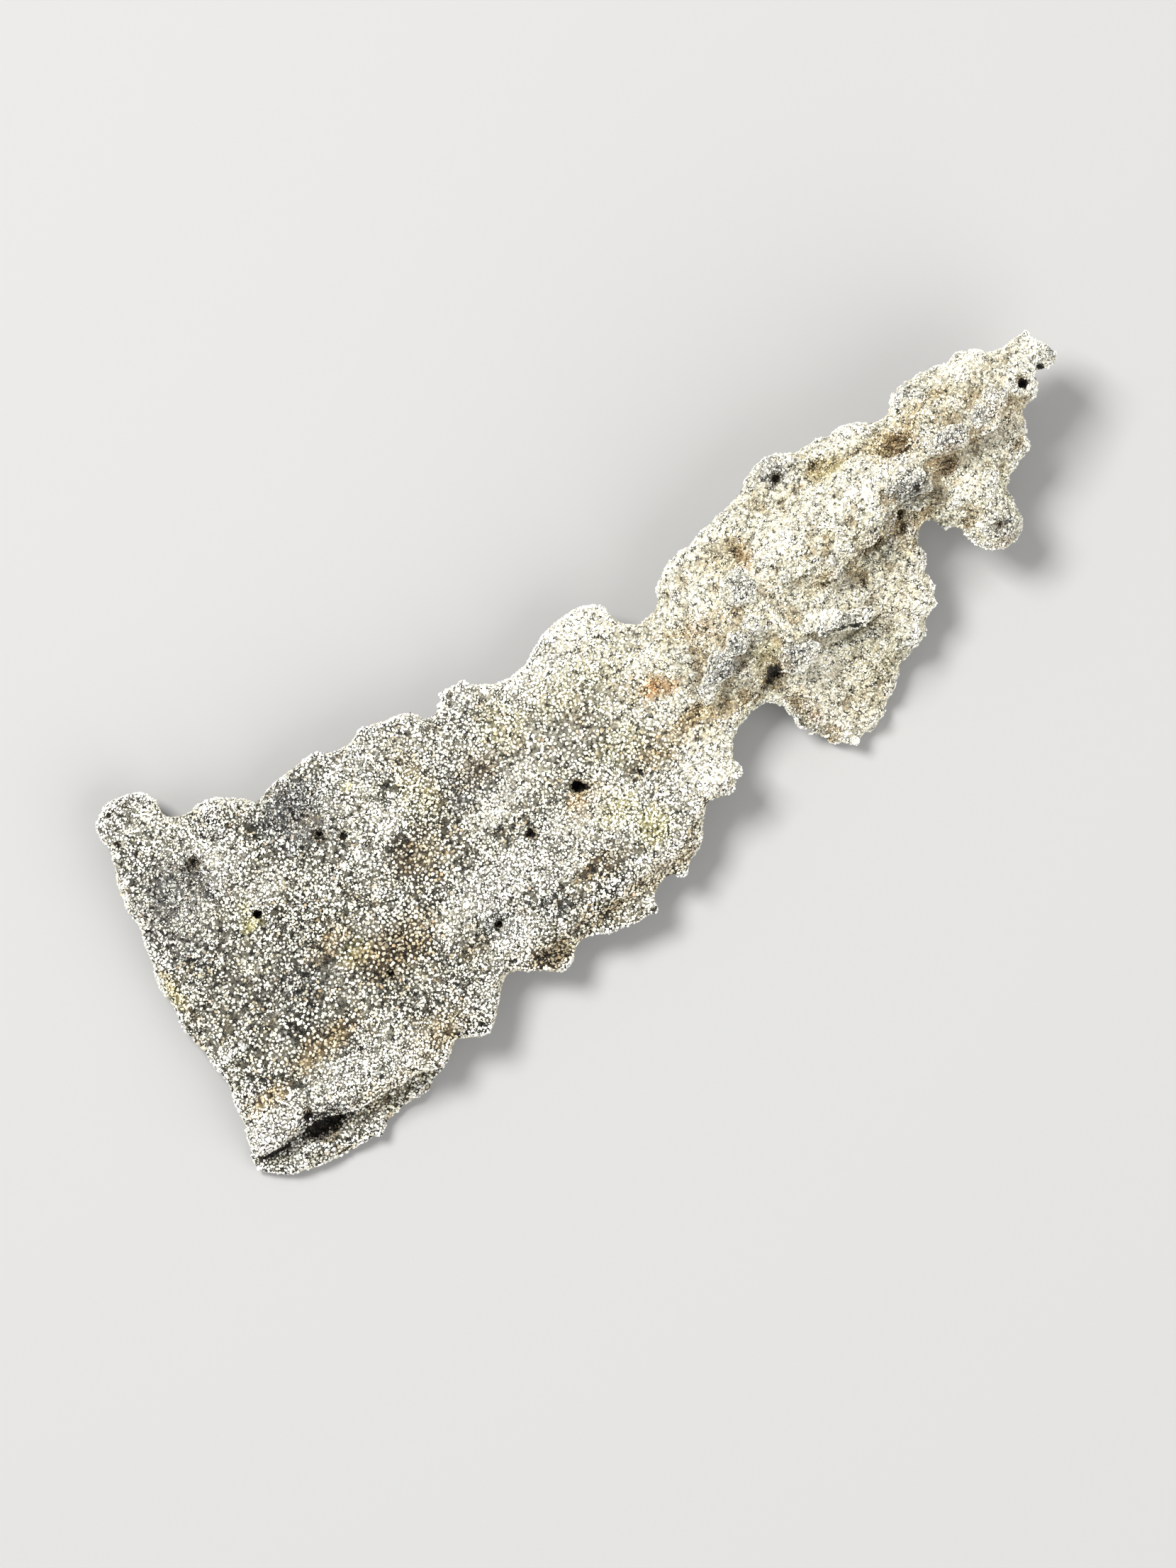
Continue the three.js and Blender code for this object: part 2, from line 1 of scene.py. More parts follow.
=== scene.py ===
# %% [markdown]
# # A fulgurite, dressed in its sand
# Lightning struck dry dune sand and welded it into this piece. The real thing is one crust of
# silica glass with thousands of sand grains stuck in it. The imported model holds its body: the
# blade, the winged ridge, the fin, the hook and the tip. This lesson gives that body its skin.
# First a finer crust grows out of the body, then grains are sown over it, and both get finishes.

# %% Load the body
import bpy
import math
import numpy as np
from mathutils import Matrix, Vector, noise


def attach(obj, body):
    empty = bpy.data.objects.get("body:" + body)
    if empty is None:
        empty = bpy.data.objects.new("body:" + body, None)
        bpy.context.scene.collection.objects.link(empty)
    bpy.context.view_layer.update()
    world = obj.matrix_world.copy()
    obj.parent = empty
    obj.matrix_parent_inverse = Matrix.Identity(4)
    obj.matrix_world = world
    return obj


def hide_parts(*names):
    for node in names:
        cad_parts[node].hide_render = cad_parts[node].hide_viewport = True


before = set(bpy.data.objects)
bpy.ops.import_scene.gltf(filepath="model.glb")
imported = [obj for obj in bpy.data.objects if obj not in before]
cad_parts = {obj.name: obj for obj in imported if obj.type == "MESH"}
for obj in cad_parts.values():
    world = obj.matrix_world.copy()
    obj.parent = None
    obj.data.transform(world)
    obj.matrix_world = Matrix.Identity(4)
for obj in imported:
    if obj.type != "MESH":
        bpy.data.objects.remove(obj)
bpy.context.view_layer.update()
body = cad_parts["fulgurite"]
MM = 0.001  # one millimetre in scene units

# %% [markdown]
# ## The camera
# The piece lies on a table and is looked at from straight above, turned so that its tip points
# up and to the right. A long lens from half a metre away keeps the outline free of perspective.

# %% Camera
VIEW_TALL = 81.93 * MM  # height of the view where the piece lies
VIEW_DISTANCE = 0.5
VIEW_LEVEL = 4.0 * MM  # the sizes are true at this height
VIEW_MIDDLE = (-3.49 * MM, -3.08 * MM)
VIEW_TURN = -37.0  # degrees that the long axis turns from level
FILM = 36.0

lens = bpy.data.cameras.new("overhead")
lens.sensor_width = FILM
lens.lens = FILM * VIEW_DISTANCE / VIEW_TALL
camera = bpy.data.objects.new("overhead", lens)
camera.location = (*VIEW_MIDDLE, VIEW_LEVEL + VIEW_DISTANCE)
camera.rotation_euler = (0, 0, math.radians(VIEW_TURN))
bpy.context.collection.objects.link(camera)
bpy.context.scene.camera = camera
print("lens", round(lens.lens, 1), "mm")

# %% [markdown]
# ## Table and light
# A pale matt table, a broad soft light overhead and a little to the upper left, and a weaker one
# from the other side, as under a studio's cloth ceiling. The light room around them fills the
# shadows, so that the gaps between grains stay readable.

# %% Table and light
TABLE_WIDE = 3.0
FLOOR_PALE = (0.35, 0.346, 0.338, 1.0)
FLOOR_ROUGH = 0.9
KEY_PLACE = Vector((-0.06, 0.23, 0.43))
KEY_SIZE = 0.16
KEY_WATTS = 3.6
FILL_PLACE = Vector((0.08, -0.30, 0.30))
FILL_SIZE = 0.45
FILL_WATTS = 1.6
ROOM_TINT = (0.97, 0.98, 1.0, 1.0)
ROOM_LIGHT = 0.54

bpy.ops.mesh.primitive_plane_add(size=TABLE_WIDE, location=(0, 0, 0))
table = bpy.context.object
table.name = "table"
table_paint = bpy.data.materials.new("pale_table")
table_paint.use_nodes = True
table_shader = table_paint.node_tree.nodes["Principled BSDF"]
table_shader.inputs["Base Color"].default_value = FLOOR_PALE
table_shader.inputs["Roughness"].default_value = FLOOR_ROUGH
table.data.materials.append(table_paint)


def soft_light(name, place, size, watts):
    """A square cloth light that faces the piece."""
    bpy.ops.object.light_add(type="AREA", location=place)
    lamp = bpy.context.object
    lamp.name = name
    lamp.rotation_euler = (-place).to_track_quat("-Z", "Y").to_euler()
    lamp.data.size = size
    lamp.data.energy = watts


soft_light("key", KEY_PLACE, KEY_SIZE, KEY_WATTS)
soft_light("fill", FILL_PLACE, FILL_SIZE, FILL_WATTS)

room = bpy.data.worlds.new("room")
room.use_nodes = True
room.node_tree.nodes["Background"].inputs["Color"].default_value = ROOM_TINT
room.node_tree.nodes["Background"].inputs["Strength"].default_value = ROOM_LIGHT
bpy.context.scene.world = room
bpy.context.scene.view_settings.view_transform = "Standard"
print("table", TABLE_WIDE, "m wide; key", KEY_WATTS, "W, fill", FILL_WATTS, "W, room", ROOM_LIGHT)

# %% [markdown]
# ## The crust
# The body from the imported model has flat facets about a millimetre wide, and is loose triangles.
# A copy of it is welded, to be the start of a finer skin. All shaping is done in millimetres,
# because remeshing and noise are easier to read at that size, and the finished piece is scaled
# down to metres at the end.

# %% Copy and weld
WELD = 0.002  # points that lie closer than this many millimetres become one


def pick(thing):
    """Select one object and nothing else."""
    bpy.ops.object.select_all(action="DESELECT")
    thing.select_set(True)
    bpy.context.view_layer.objects.active = thing


def apply_modifier(thing, kind, **settings):
    """Add a modifier with its settings, and make its result the mesh."""
    pick(thing)
    modifier = thing.modifiers.new(kind, kind)
    for name, value in settings.items():
        setattr(modifier, name, value)
    bpy.ops.object.modifier_apply(modifier=modifier.name)


crust = body.copy()
crust.data = body.data.copy()
crust.name = "sand_crust"
crust.parent = None
crust.data.materials.clear()
bpy.context.collection.objects.link(crust)
crust.data.transform(Matrix.Scale(1 / MM, 4))
pick(crust)
bpy.ops.object.mode_set(mode="EDIT")
bpy.ops.mesh.select_all(action="SELECT")
bpy.ops.mesh.remove_doubles(threshold=WELD)
bpy.ops.object.mode_set(mode="OBJECT")
print("body copy", len(crust.data.polygons), "faces")

# %% [markdown]
# ## Knobs and notches
# The ridge is crowded with half-melted knobs, and its outline has small bites out of it. Each
# knob is a coarse ball set into the skin, and each bite is a ball cut away. The remesh that
# follows then welds them all into one skin, as the melt did.

# %% Knobs [x, y, radius, rise] and bites [x, y, z, radius], in millimetres
OFFSET = np.array([0.08, 0.09])  # places are listed from the blade's middle, which lies here
KNOBS = [
    (4.5, -2.95, 0.55, 0.45), (5.3, -2.5, 0.7, 0.7), (6.2, -2.25, 0.72, 0.8), (7.2, -1.95, 0.66, 0.7),
    (8.1, -1.6, 0.55, 0.55), (10.6, -3.3, 0.65, 0.6), (11.3, -3.75, 0.68, 0.8), (12.0, -4.05, 0.62, 0.85),
    (12.7, -4.35, 0.55, 0.8), (13.3, -4.6, 0.45, 0.65), (8.8, -4.3, 0.75, 0.75), (9.5, -4.45, 0.72, 0.7),
    (10.9, -0.8, 0.55, 0.45), (11.8, -1.15, 0.5, 0.4), (12.9, -0.95, 0.55, 0.45), (13.6, -1.35, 0.6, 0.65),
    (14.6, -1.15, 0.6, 0.65), (15.4, -1.0, 0.58, 0.6), (16.2, -1.1, 0.6, 0.65), (17.0, -0.9, 0.5, 0.6),
    (14.4, 0.3, 0.5, 0.3), (15.3, 0.35, 0.52, 0.38), (16.3, 0.4, 0.55, 0.42), (17.4, 0.38, 0.55, 0.45),
    (18.5, 0.42, 0.52, 0.42), (19.5, 0.4, 0.45, 0.4), (13.6, -0.45, 0.6, 0.4), (14.9, -0.3, 0.65, 0.45),
    (15.9, -0.3, 0.7, 0.5), (16.8, -0.25, 0.65, 0.45),
    (18.5, -0.5, 0.8, 0.75), (19.4, -0.75, 0.66, 0.65), (21.8, -0.15, 0.6, 0.55),
    (22.6, -0.25, 0.55, 0.55), (24.2, -0.1, 0.6, 0.45), (23.4, 0.8, 0.5, 0.3), (25.3, 0.5, 0.45, 0.3),
    (21.9, 2.9, 0.45, 0.25), (22.8, 2.7, 0.38, 0.2), (24.9, 2.3, 0.4, 0.2), (26.0, 2.3, 0.4, 0.2),
    (28.5, 1.35, 0.32, 0.15), (8.7, 0.35, 0.72, 0.55), (10.6, 0.8, 0.4, 0.3), (12.1, 0.75, 0.4, 0.3),
    (9.3, 2.4, 0.36, 0.15), (7.0, 2.8, 0.4, 0.15), (14.3, 4.0, 0.42, 0.2), (12.6, 3.9, 0.32, 0.2),
    (22.6, -3.1, 0.5, 0.3), (21.0, -4.9, 0.45, 0.3), (22.3, -5.2, 0.5, 0.3), (24.5, -2.2, 0.4, 0.2),
    (20.6, -3.0, 0.36, 0.2), (9.6, -5.9, 0.36, 0.2), (11.2, -6.2, 0.42, 0.2), (12.6, -6.8, 0.42, 0.2),
    (14.2, -5.6, 0.36, 0.2), (15.9, -6.0, 0.5, 0.3), (16.6, -4.2, 0.36, 0.2), (14.4, -7.0, 0.36, 0.2),
    (11.0, -8.5, 0.36, 0.18), (9.2, -9.2, 0.4, 0.18), (8.6, -8.2, 0.3, 0.15), (18.2, 2.6, 0.4, 0.2),
    (14.4, -3.0, 0.45, 0.5), (17.6, -2.15, 0.6, 0.8), (21.3, -1.2, 0.85, 1.3), (23.4, -1.4, 0.5, 0.3),
    (-24.1, 5.1, 0.8, 0.16), (-17.2, 5.2, 0.7, 0.25), (-16.0, 5.5, 0.5, 0.2), (-8.7, -7.2, 0.55, 0.22),
    (-11.8, -6.1, 0.6, 0.22), (-20.4, 7.3, 0.5, 0.16), (-12.2, 5.6, 0.42, 0.2), (-3.8, 3.2, 0.4, 0.15),
    (0.8, 3.6, 0.45, 0.16), (1.9, -7.1, 0.42, 0.2), (-1.9, -8.4, 0.4, 0.16), (-25.9, 7.3, 0.4, 0.16),
    (-6.9, 5.0, 0.28, 0.3), (-5.9, 4.7, 0.24, 0.3), (-9.7, 5.6, 0.26, 0.25), (-11.0, 5.9, 0.24, 0.25),
]
BITES = [
    (28.1, -0.55, 5.6, 0.8), (27.3, 3.0, 6.0, 1.15), (28.4, 2.65, 6.0, 0.85), (29.6, 1.75, 6.2, 0.9),
    (20.1, 3.75, 6.2, 0.8), (24.0, 3.6, 6.0, 0.75), (27.9, -1.4, 6.0, 0.9), (4.0, 3.1, 4.8, 1.35),
    (17.2, 4.75, 6.0, 0.9), (9.5, 4.7, 6.0, 0.9), (-7.9, 5.3, 3.8, 0.85), (18.6, -3.65, 5.0, 0.9),
    (2.7, 5.2, 4.8, 1.1), (-21.6, 9.6, 4.0, 0.9), (0.9, 5.7, 4.8, 1.3), (-1.2, 5.6, 4.8, 1.1),
    (-4.3, 4.9, 4.0, 0.8), (6.2, 4.6, 5.0, 0.9),
]
BITE_TALL = 3.0  # how many times taller than wide a bite is
ABOVE_ALL = 50  # a height that is well above the piece


def balls(name, rows, tall=1.0):
    """One mesh of coarse balls, each at its place."""
    made = []
    for x, y, z, radius in rows:
        bpy.ops.mesh.primitive_ico_sphere_add(
            subdivisions=2, radius=radius, location=(x, y, z), scale=(1, 1, tall)
        )
        made.append(bpy.context.object)
    bpy.ops.object.select_all(action="DESELECT")
    for ball in made:
        ball.select_set(True)
    bpy.context.view_layer.objects.active = made[0]
    bpy.ops.object.join()
    bpy.ops.object.transform_apply(location=True, rotation=True, scale=True)
    made[0].name = name
    return made[0]


def skin_height(thing, x, y):
    """The height of the upper skin at a place."""
    hit, spot, _, _ = thing.ray_cast(Vector((x, y, ABOVE_ALL)), Vector((0, 0, -1)))
    return spot.z if hit else 0.0


bites = balls("bites", [(x + OFFSET[0], y + OFFSET[1], z, r) for x, y, z, r in BITES], BITE_TALL)
apply_modifier(crust, "BOOLEAN", object=bites, operation="DIFFERENCE", solver="EXACT", use_self=True)
bpy.data.objects.remove(bites)
rows = []
for x, y, radius, rise in KNOBS:
    x, y = x + OFFSET[0], y + OFFSET[1]
    rows.append((x, y, skin_height(crust, x, y) - radius + rise, radius))
knobs = balls("knobs", rows)
bpy.ops.object.select_all(action="DESELECT")
knobs.select_set(True)
crust.select_set(True)
bpy.context.view_layer.objects.active = crust
bpy.ops.object.join()
print("with knobs", len(crust.data.polygons), "faces")

# %% [markdown]
# ## One melted skin
# The voxel remesh rebuilds everything as one closed skin of small even faces, and smoothing
# melts the facets and the seams of the balls.

# %% Remesh and melt
VOXEL = 0.18  # millimetres

apply_modifier(crust, "REMESH", mode="VOXEL", voxel_size=VOXEL, use_smooth_shade=True)
apply_modifier(crust, "SMOOTH", factor=0.5, iterations=4)
print("crust", len(crust.data.polygons), "faces")

# %% [markdown]
# ## Relief
# Melted sand sags into slow swells with smaller knobs on them. Two displacements along the
# surface give both. They read noise in the piece's own space, so they are the same every time.

# %% Swells and knobs


def displace(thing, name, size, depth, strength):
    """Push the skin out and in along its normals, by a cloud texture."""
    texture = bpy.data.textures.new(name, "CLOUDS")
    texture.noise_scale = size
    texture.noise_depth = depth
    apply_modifier(
        thing, "DISPLACE", texture=texture, texture_coords="LOCAL", strength=strength, mid_level=0.5
    )


displace(crust, "swells", size=2.3, depth=1, strength=0.36)
displace(crust, "knobs", size=0.75, depth=2, strength=0.2)
print("relief on", len(crust.data.vertices), "points")

# %% [markdown]
# ## Rougher on the ridge
# The ridge, the fin and the hook boiled hardest and are the knobbliest. There the points are
# pushed out and in once more along their normals, by two sizes of noise, and less so on the
# ridge's left wing. The whole skin also sinks a little, to leave room for the grains. Noise that
# is read in code and not through a modifier can be weighed by place.

# %% Ridge relief
GRAIN_ROOM = 0.09  # the skin sinks by this much
BLADE_ROUGH = 0.25  # how rough the blade is, as a share of the ridge
RIDGE_FOOT = (1.5, 6.0)  # along the piece, from the blade to the full ridge
WING_CALM = 0.4  # how much smoother the wing is than the ridge beside it
WING_ROOT = (0.8, 2.0)  # across the piece, from the ridge to its left wing
LUMPS, LUMP_SIZE = 0.7, 1.5
PIMPLES, PIMPLE_SIZE = 0.5, 0.7
NOISE_STEPS = (17.3, 5.1, 9.7)  # each seed reads the noise this much further away


def read_points(mesh):
    """Places and normals of a mesh, as arrays."""
    places = np.empty(len(mesh.vertices) * 3)
    mesh.vertices.foreach_get("co", places)
    normals = np.empty(len(mesh.vertices) * 3)
    mesh.vertices.foreach_get("normal", normals)
    return places.reshape(-1, 3), normals.reshape(-1, 3)


def write_points(mesh, places):
    """Move the points of a mesh to new places."""
    mesh.vertices.foreach_set("co", places.ravel())
    mesh.update()


def ramp(values, low, high):
    """A soft step from 0 at low to 1 at high."""
    t = np.clip((values - low) / (high - low), 0, 1)
    return t * t * (3 - 2 * t)


def wander(points, size, seed):
    """Smooth noise between 0 and 1 at each point, with features about size millimetres wide."""
    shift = Vector([seed * step for step in NOISE_STEPS])
    return np.array([0.5 + 0.5 * noise.noise(Vector(p) / size + shift) for p in points.tolist()])


places, normals = read_points(crust.data)
on_ridge = BLADE_ROUGH + (1 - BLADE_ROUGH) * ramp(places[:, 0], *RIDGE_FOOT)
on_ridge *= 1 - WING_CALM * ramp(places[:, 1], *WING_ROOT)
lift = LUMPS * (wander(places, LUMP_SIZE, seed=4) - 0.5)
lift += PIMPLES * (wander(places, PIMPLE_SIZE, seed=5) - 0.5)
write_points(crust.data, places + normals * (on_ridge * lift - GRAIN_ROOM)[:, None])
print("ridge relief from", round(float(lift.min()), 2), "to", round(float(lift.max()), 2), "mm")

# %% [markdown]
# ## Gas holes and crevices
# Steam blew small round holes through the glass while it was soft, and where two folds of it
# met they left crevices. Each is pressed into the upper face at its place, deepest in the
# middle. A dent is enough here, because the inside of a real hole is too dark to see into: its
# shade is painted on the dent instead, darkest in the middle.

# %% Gas holes, [x, y, radius, depth, painted shade], in millimetres
HOLES = [
    (-4.1, -2.95, 0.46, 1.0, 1.0), (-3.75, -3.25, 0.28, 0.6, 0.9), (-7.5, -3.5, 0.3, 0.7, 0.95),
    (-21.5, 1.8, 0.32, 0.8, 1.0), (-16.4, 3.2, 0.28, 0.6, 0.75), (-15.4, 2.4, 0.27, 0.5, 0.8),
    (-17.7, 2.75, 0.22, 0.4, 0.7), (-15.4, 5.1, 0.2, 0.4, 0.7), (-22.6, 5.9, 0.45, 0.35, 0.3),
    (-25.1, 9.0, 0.24, 0.4, 0.5), (-24.6, 10.6, 0.24, 0.4, 0.8), (-23.6, 10.5, 0.24, 0.4, 0.7),
    (-11.7, -6.2, 0.4, 0.5, 0.4), (-8.6, -7.2, 0.36, 0.35, 0.4), (-17.8, -4.9, 0.32, 0.5, 0.8),
    (-21.4, -7.1, 0.28, 0.4, 0.7), (-1.0, -4.3, 0.26, 0.5, 0.7), (13.8, 3.6, 0.36, 0.7, 0.85),
    (15.7, 3.0, 0.3, 0.5, 0.7), (9.85, 2.0, 0.26, 0.5, 0.7), (10.1, 1.2, 0.2, 0.5, 0.6),
    (26.95, -0.15, 0.38, 0.8, 1.0), (28.2, 0.0, 0.3, 0.8, 1.0), (8.0, -8.9, 0.5, 0.5, 0.35),
    (7.7, -6.2, 0.45, 0.5, 0.4), (19.9, 1.1, 0.8, 0.45, 0.35), (21.3, -1.2, 0.6, 0.5, 0.45),
    (7.7, -4.35, 0.5, 0.35, 0.9), (17.5, -2.1, 0.4, 0.2, 0.4), (25.0, -2.5, 0.34, 0.4, 0.5),
    (21.7, -5.3, 0.3, 0.4, 0.6), (19.25, -1.15, 0.28, 0.5, 0.8), (-25.8, -8.3, 0.4, 0.6, 0.9),
    (-9.0, 0.6, 0.25, 0.4, 0.6), (-13.9, 3.0, 0.2, 0.35, 0.6), (-23.4, -0.4, 0.2, 0.3, 0.6),
    (11.9, -7.8, 0.35, 0.3, 0.5), (10.4, -7.5, 0.2, 0.3, 0.7), (15.1, -1.3, 0.25, 0.3, 0.6),
    (12.2, 0.9, 0.2, 0.3, 0.6), (10.2, 0.5, 0.18, 0.3, 0.6), (22.0, 3.2, 0.35, 0.3, 0.4),
]
CREVICES = [  # [x, y, half length, half width, turn, depth, painted shade]
    (11.6, -4.72, 1.6, 0.34, -0.28, 0.7, 1.0), (15.7, -2.05, 1.3, 0.28, 0.0, 0.25, 0.35),
    (18.9, -1.9, 0.7, 0.35, 0.2, 0.15, 0.3), (17.6, -2.0, 0.9, 0.3, 1.2, 0.2, 0.5),
    (23.6, -0.85, 1.2, 0.25, 0.1, 0.2, 0.15), (14.35, -3.0, 0.8, 0.22, 1.4, 0.1, 0.2),
    (12.6, -2.15, 0.8, 0.3, -0.2, 0.25, 0.35), (2.6, -3.4, 1.4, 0.35, 0.1, 0.2, 0.3),
    (6.6, -4.65, 1.4, 0.22, 0.1, 0.25, 0.5), (-28.4, -8.75, 1.3, 0.16, -0.15, 0.2, 1.0),
    (-25.4, -9.1, 1.7, 0.9, -0.2, 0.35, 0.72), (6.3, -3.15, 0.9, 0.22, 0.25, 0.25, 0.35),
    (-10.6, -9.3, 1.6, 0.4, -0.4, 0.2, 0.5), (-6.5, -9.2, 2.4, 0.2, 0.1, 0.2, 0.3),
    (20.0, 0.75, 0.7, 0.14, 0.1, 0.25, 0.8), (27.6, 0.15, 0.9, 0.15, 0.1, 0.1, 0.3),
    (7.6, -7.3, 0.3, 2.2, 0.05, 0.2, 0.35), (5.5, -1.1, 1.4, 0.3, -0.3, 0.15, 0.1),
    (-5.9, -6.7, 1.3, 0.3, 0.25, 0.2, 0.2), (19.4, 2.5, 0.5, 0.2, 0.9, 0.2, 0.1),
    (9.9, -2.3, 0.25, 1.2, 0.3, 0.3, 0.1),
    (10.1, -7.2, 0.24, 1.6, 0.1, 0.2, 0.1), (11.9, -6.8, 0.22, 1.4, 0.15, 0.2, 0.1),
    (13.2, -6.3, 0.22, 1.3, 0.2, 0.2, 0.15), (14.8, -5.6, 0.22, 1.2, 0.25, 0.18, 0.1),
]
UNDERSIDE = -0.7  # a normal that points further down than this belongs to the underside
HOLE_REACH = 3.0  # how far a hole reaches below the highest point inside its oval


def inside_holes(places, normals):
    """How far each place is pressed down, and how much painted shade it gets, in the holes and crevices.
    """
    push = np.zeros(len(places))
    hole_shade = np.zeros(len(places))
    ovals = [(x, y, r, r, 0.0, deep, shade_strength) for x, y, r, deep, shade_strength in HOLES] + CREVICES
    for x, y, long, wide, turn, deep, shade_strength in ovals:
        dx = places[:, 0] - x - OFFSET[0]
        dy = places[:, 1] - y - OFFSET[1]
        along = (dx * math.cos(turn) + dy * math.sin(turn)) / long
        across = (dy * math.cos(turn) - dx * math.sin(turn)) / wide
        away = np.hypot(along, across)
        near = (away < 1) & (normals[:, 2] > UNDERSIDE)
        if not near.any():
            continue
        near &= places[:, 2] > places[near, 2].max() - HOLE_REACH
        bowl = np.where(near, 1 - np.clip(away, 0, 1) ** 2, 0)
        push = np.maximum(push, bowl * deep)
        hole_shade = np.maximum(hole_shade, np.sqrt(bowl) * shade_strength)
    return push, hole_shade


places, normals = read_points(crust.data)
push, painted_hole_shade = inside_holes(places, normals)
places[:, 2] = np.maximum(places[:, 2] - push, 0)  # nothing reaches below the table
write_points(crust.data, places)
print("points pressed into holes:", int((push > 0).sum()))

# %% [markdown]
# ## Hollows and knobs
# Dirt and iron stay in the hollows, and wear keeps the knobs clean. The hollows are also painted
# darker as shade, and the knobs are painted lighter, as if lit. The skin is averaged again and
# again in a copy of its points. Where a point lies below the average it is in a hollow.

# %% How hollow each point lies
NEAR_ROUNDS = 12  # rounds of averaging that show the small hollows
FAR_ROUNDS = 60  # rounds that show the wide ones
FAR_SHARE = 0.5


def hollowness(mesh, rounds):
    """How far each point lies below the smoothed skin, in millimetres."""
    places, normals = read_points(mesh)
    ends = np.empty(len(mesh.edges) * 2, dtype=np.int32)
    mesh.edges.foreach_get("vertices", ends)
    a, b = ends.reshape(-1, 2).T
    count = len(places)
    ring = np.bincount(a, minlength=count) + np.bincount(b, minlength=count)  # neighbours
    smooth = places.copy()
    for _ in range(rounds):
        total = [
            np.bincount(a, smooth[b, axis], count) + np.bincount(b, smooth[a, axis], count)
            for axis in range(3)
        ]
        smooth = 0.5 * smooth + 0.5 * np.stack(total, axis=1) / ring[:, None]
    return ((smooth - places) * normals).sum(axis=1)


hollow = hollowness(crust.data, NEAR_ROUNDS) + FAR_SHARE * hollowness(crust.data, FAR_ROUNDS)
print("hollows", np.percentile(hollow, [1, 10, 50, 90, 99]).round(3))

# %% [markdown]
# ## Where the colours lie
# The glass is stained in soft patches: grey where it melted cleanest, brown and rust where iron
# ran, yellow specks, paler and dimmer sand. Some brown, golden and dim patches are painted shade
# in hollows and under overhangs, and some pale ones are painted light on the fin and the flank.
# Each patch is a place, two widths and a strength.
# Soft ovals are used rather than a painted map, because they are few, easy to move, and give
# the crust and the grains on it the same stain.

# %% Stains, [x, y, half width, half height, strength] in millimetres
GREY = [
    (-24.0, 5.2, 2.6, 2.0, 0.8), (-16.8, 4.9, 2.0, 1.8, 0.9), (-16.2, 3.2, 1.2, 0.9, 0.8),
    (6.3, -2.5, 2.6, 0.9, 0.8), (18.8, -0.7, 1.2, 0.9, 0.9), (9.2, -4.3, 1.0, 0.8, 0.8),
    (12.2, -4.4, 1.6, 0.5, 0.6), (-25.4, -9.0, 2.2, 0.8, 1.0), (22.2, -0.2, 1.3, 0.7, 0.7),
    (24.2, -0.3, 0.9, 0.6, 0.6), (13.8, 4.0, 0.8, 0.8, 0.9), (-8.7, -7.2, 0.8, 0.8, 0.6),
    (-11.8, -6.0, 0.9, 0.8, 0.6), (21.6, -5.5, 1.1, 0.8, 0.6), (29.0, 0.1, 0.7, 0.6, 0.6),
    (-8.5, 0.8, 2.6, 1.4, 0.5), (-21.5, -2.4, 2.6, 1.0, 0.4), (-25.0, 2.8, 1.8, 1.5, 0.5),
    (8.8, 0.3, 0.9, 0.7, 0.5), (3.6, -2.8, 1.4, 0.5, 0.6),
]
# Brown iron stains; those in the ridge's hollows, under its strands, knobs and step, and along the blade's
# lower edge are painted shade as well.
BROWN = [
    (-16.6, -4.0, 2.4, 1.3, 0.8), (-19.6, -1.8, 1.4, 0.7, 0.5), (-22.6, -5.7, 2.2, 0.7, 0.9),
    (-26.6, -6.2, 1.3, 0.5, 0.6), (-12.8, -0.8, 1.8, 1.1, 0.6), (-7.6, 1.0, 1.5, 1.0, 0.5),
    (0.2, -3.8, 1.6, 0.8, 0.6), (-4.0, -3.9, 1.5, 0.8, 0.6), (3.0, -3.9, 1.4, 0.6, 0.6),
    (6.4, -0.5, 1.6, 0.9, 0.5), (10.0, 1.5, 0.6, 1.0, 0.9), (16.0, 2.7, 0.9, 0.6, 0.6),
    (19.8, 1.3, 1.3, 0.8, 1.0), (21.3, -1.0, 1.0, 0.7, 1.0), (17.5, -2.2, 0.9, 0.7, 0.9),
    (12.7, -2.1, 0.8, 0.4, 0.7), (14.3, -3.0, 0.4, 0.8, 0.7), (15.7, -2.1, 1.2, 0.3, 0.8),
    (18.6, -2.5, 0.8, 0.5, 0.8), (7.7, -4.4, 0.9, 0.7, 0.9), (8.0, -6.6, 0.7, 1.0, 0.8),
    (8.2, -8.8, 0.6, 0.6, 0.9), (-5.6, -6.8, 1.4, 0.7, 0.4), (-10.8, -9.4, 1.6, 0.8, 0.8),
    (-3.0, -9.2, 5.0, 0.5, 0.5), (23.4, -0.8, 0.6, 0.4, 0.7), (25.0, -2.5, 0.8, 0.4, 0.6),
    (25.6, -1.0, 1.2, 0.8, 0.5), (21.3, -6.2, 0.7, 0.4, 0.8), (-17.6, -9.0, 1.6, 0.7, 0.5),
    (4.5, -4.6, 2.5, 0.5, 0.5), (22.8, 2.1, 1.2, 0.3, 0.5),
]
RUST = [
    (2.2, -1.2, 0.7, 0.5, 1.0), (2.9, -1.7, 0.6, 0.4, 0.7), (-4.6, -3.5, 0.5, 0.4, 0.4),
    (8.1, -7.6, 0.3, 0.3, 0.6), (9.9, 1.4, 0.4, 0.6, 0.4), (19.9, 1.2, 0.8, 0.6, 0.35),
    (21.2, -1.1, 0.6, 0.5, 0.35), (5.8, -0.2, 0.8, 0.4, 0.3),
]
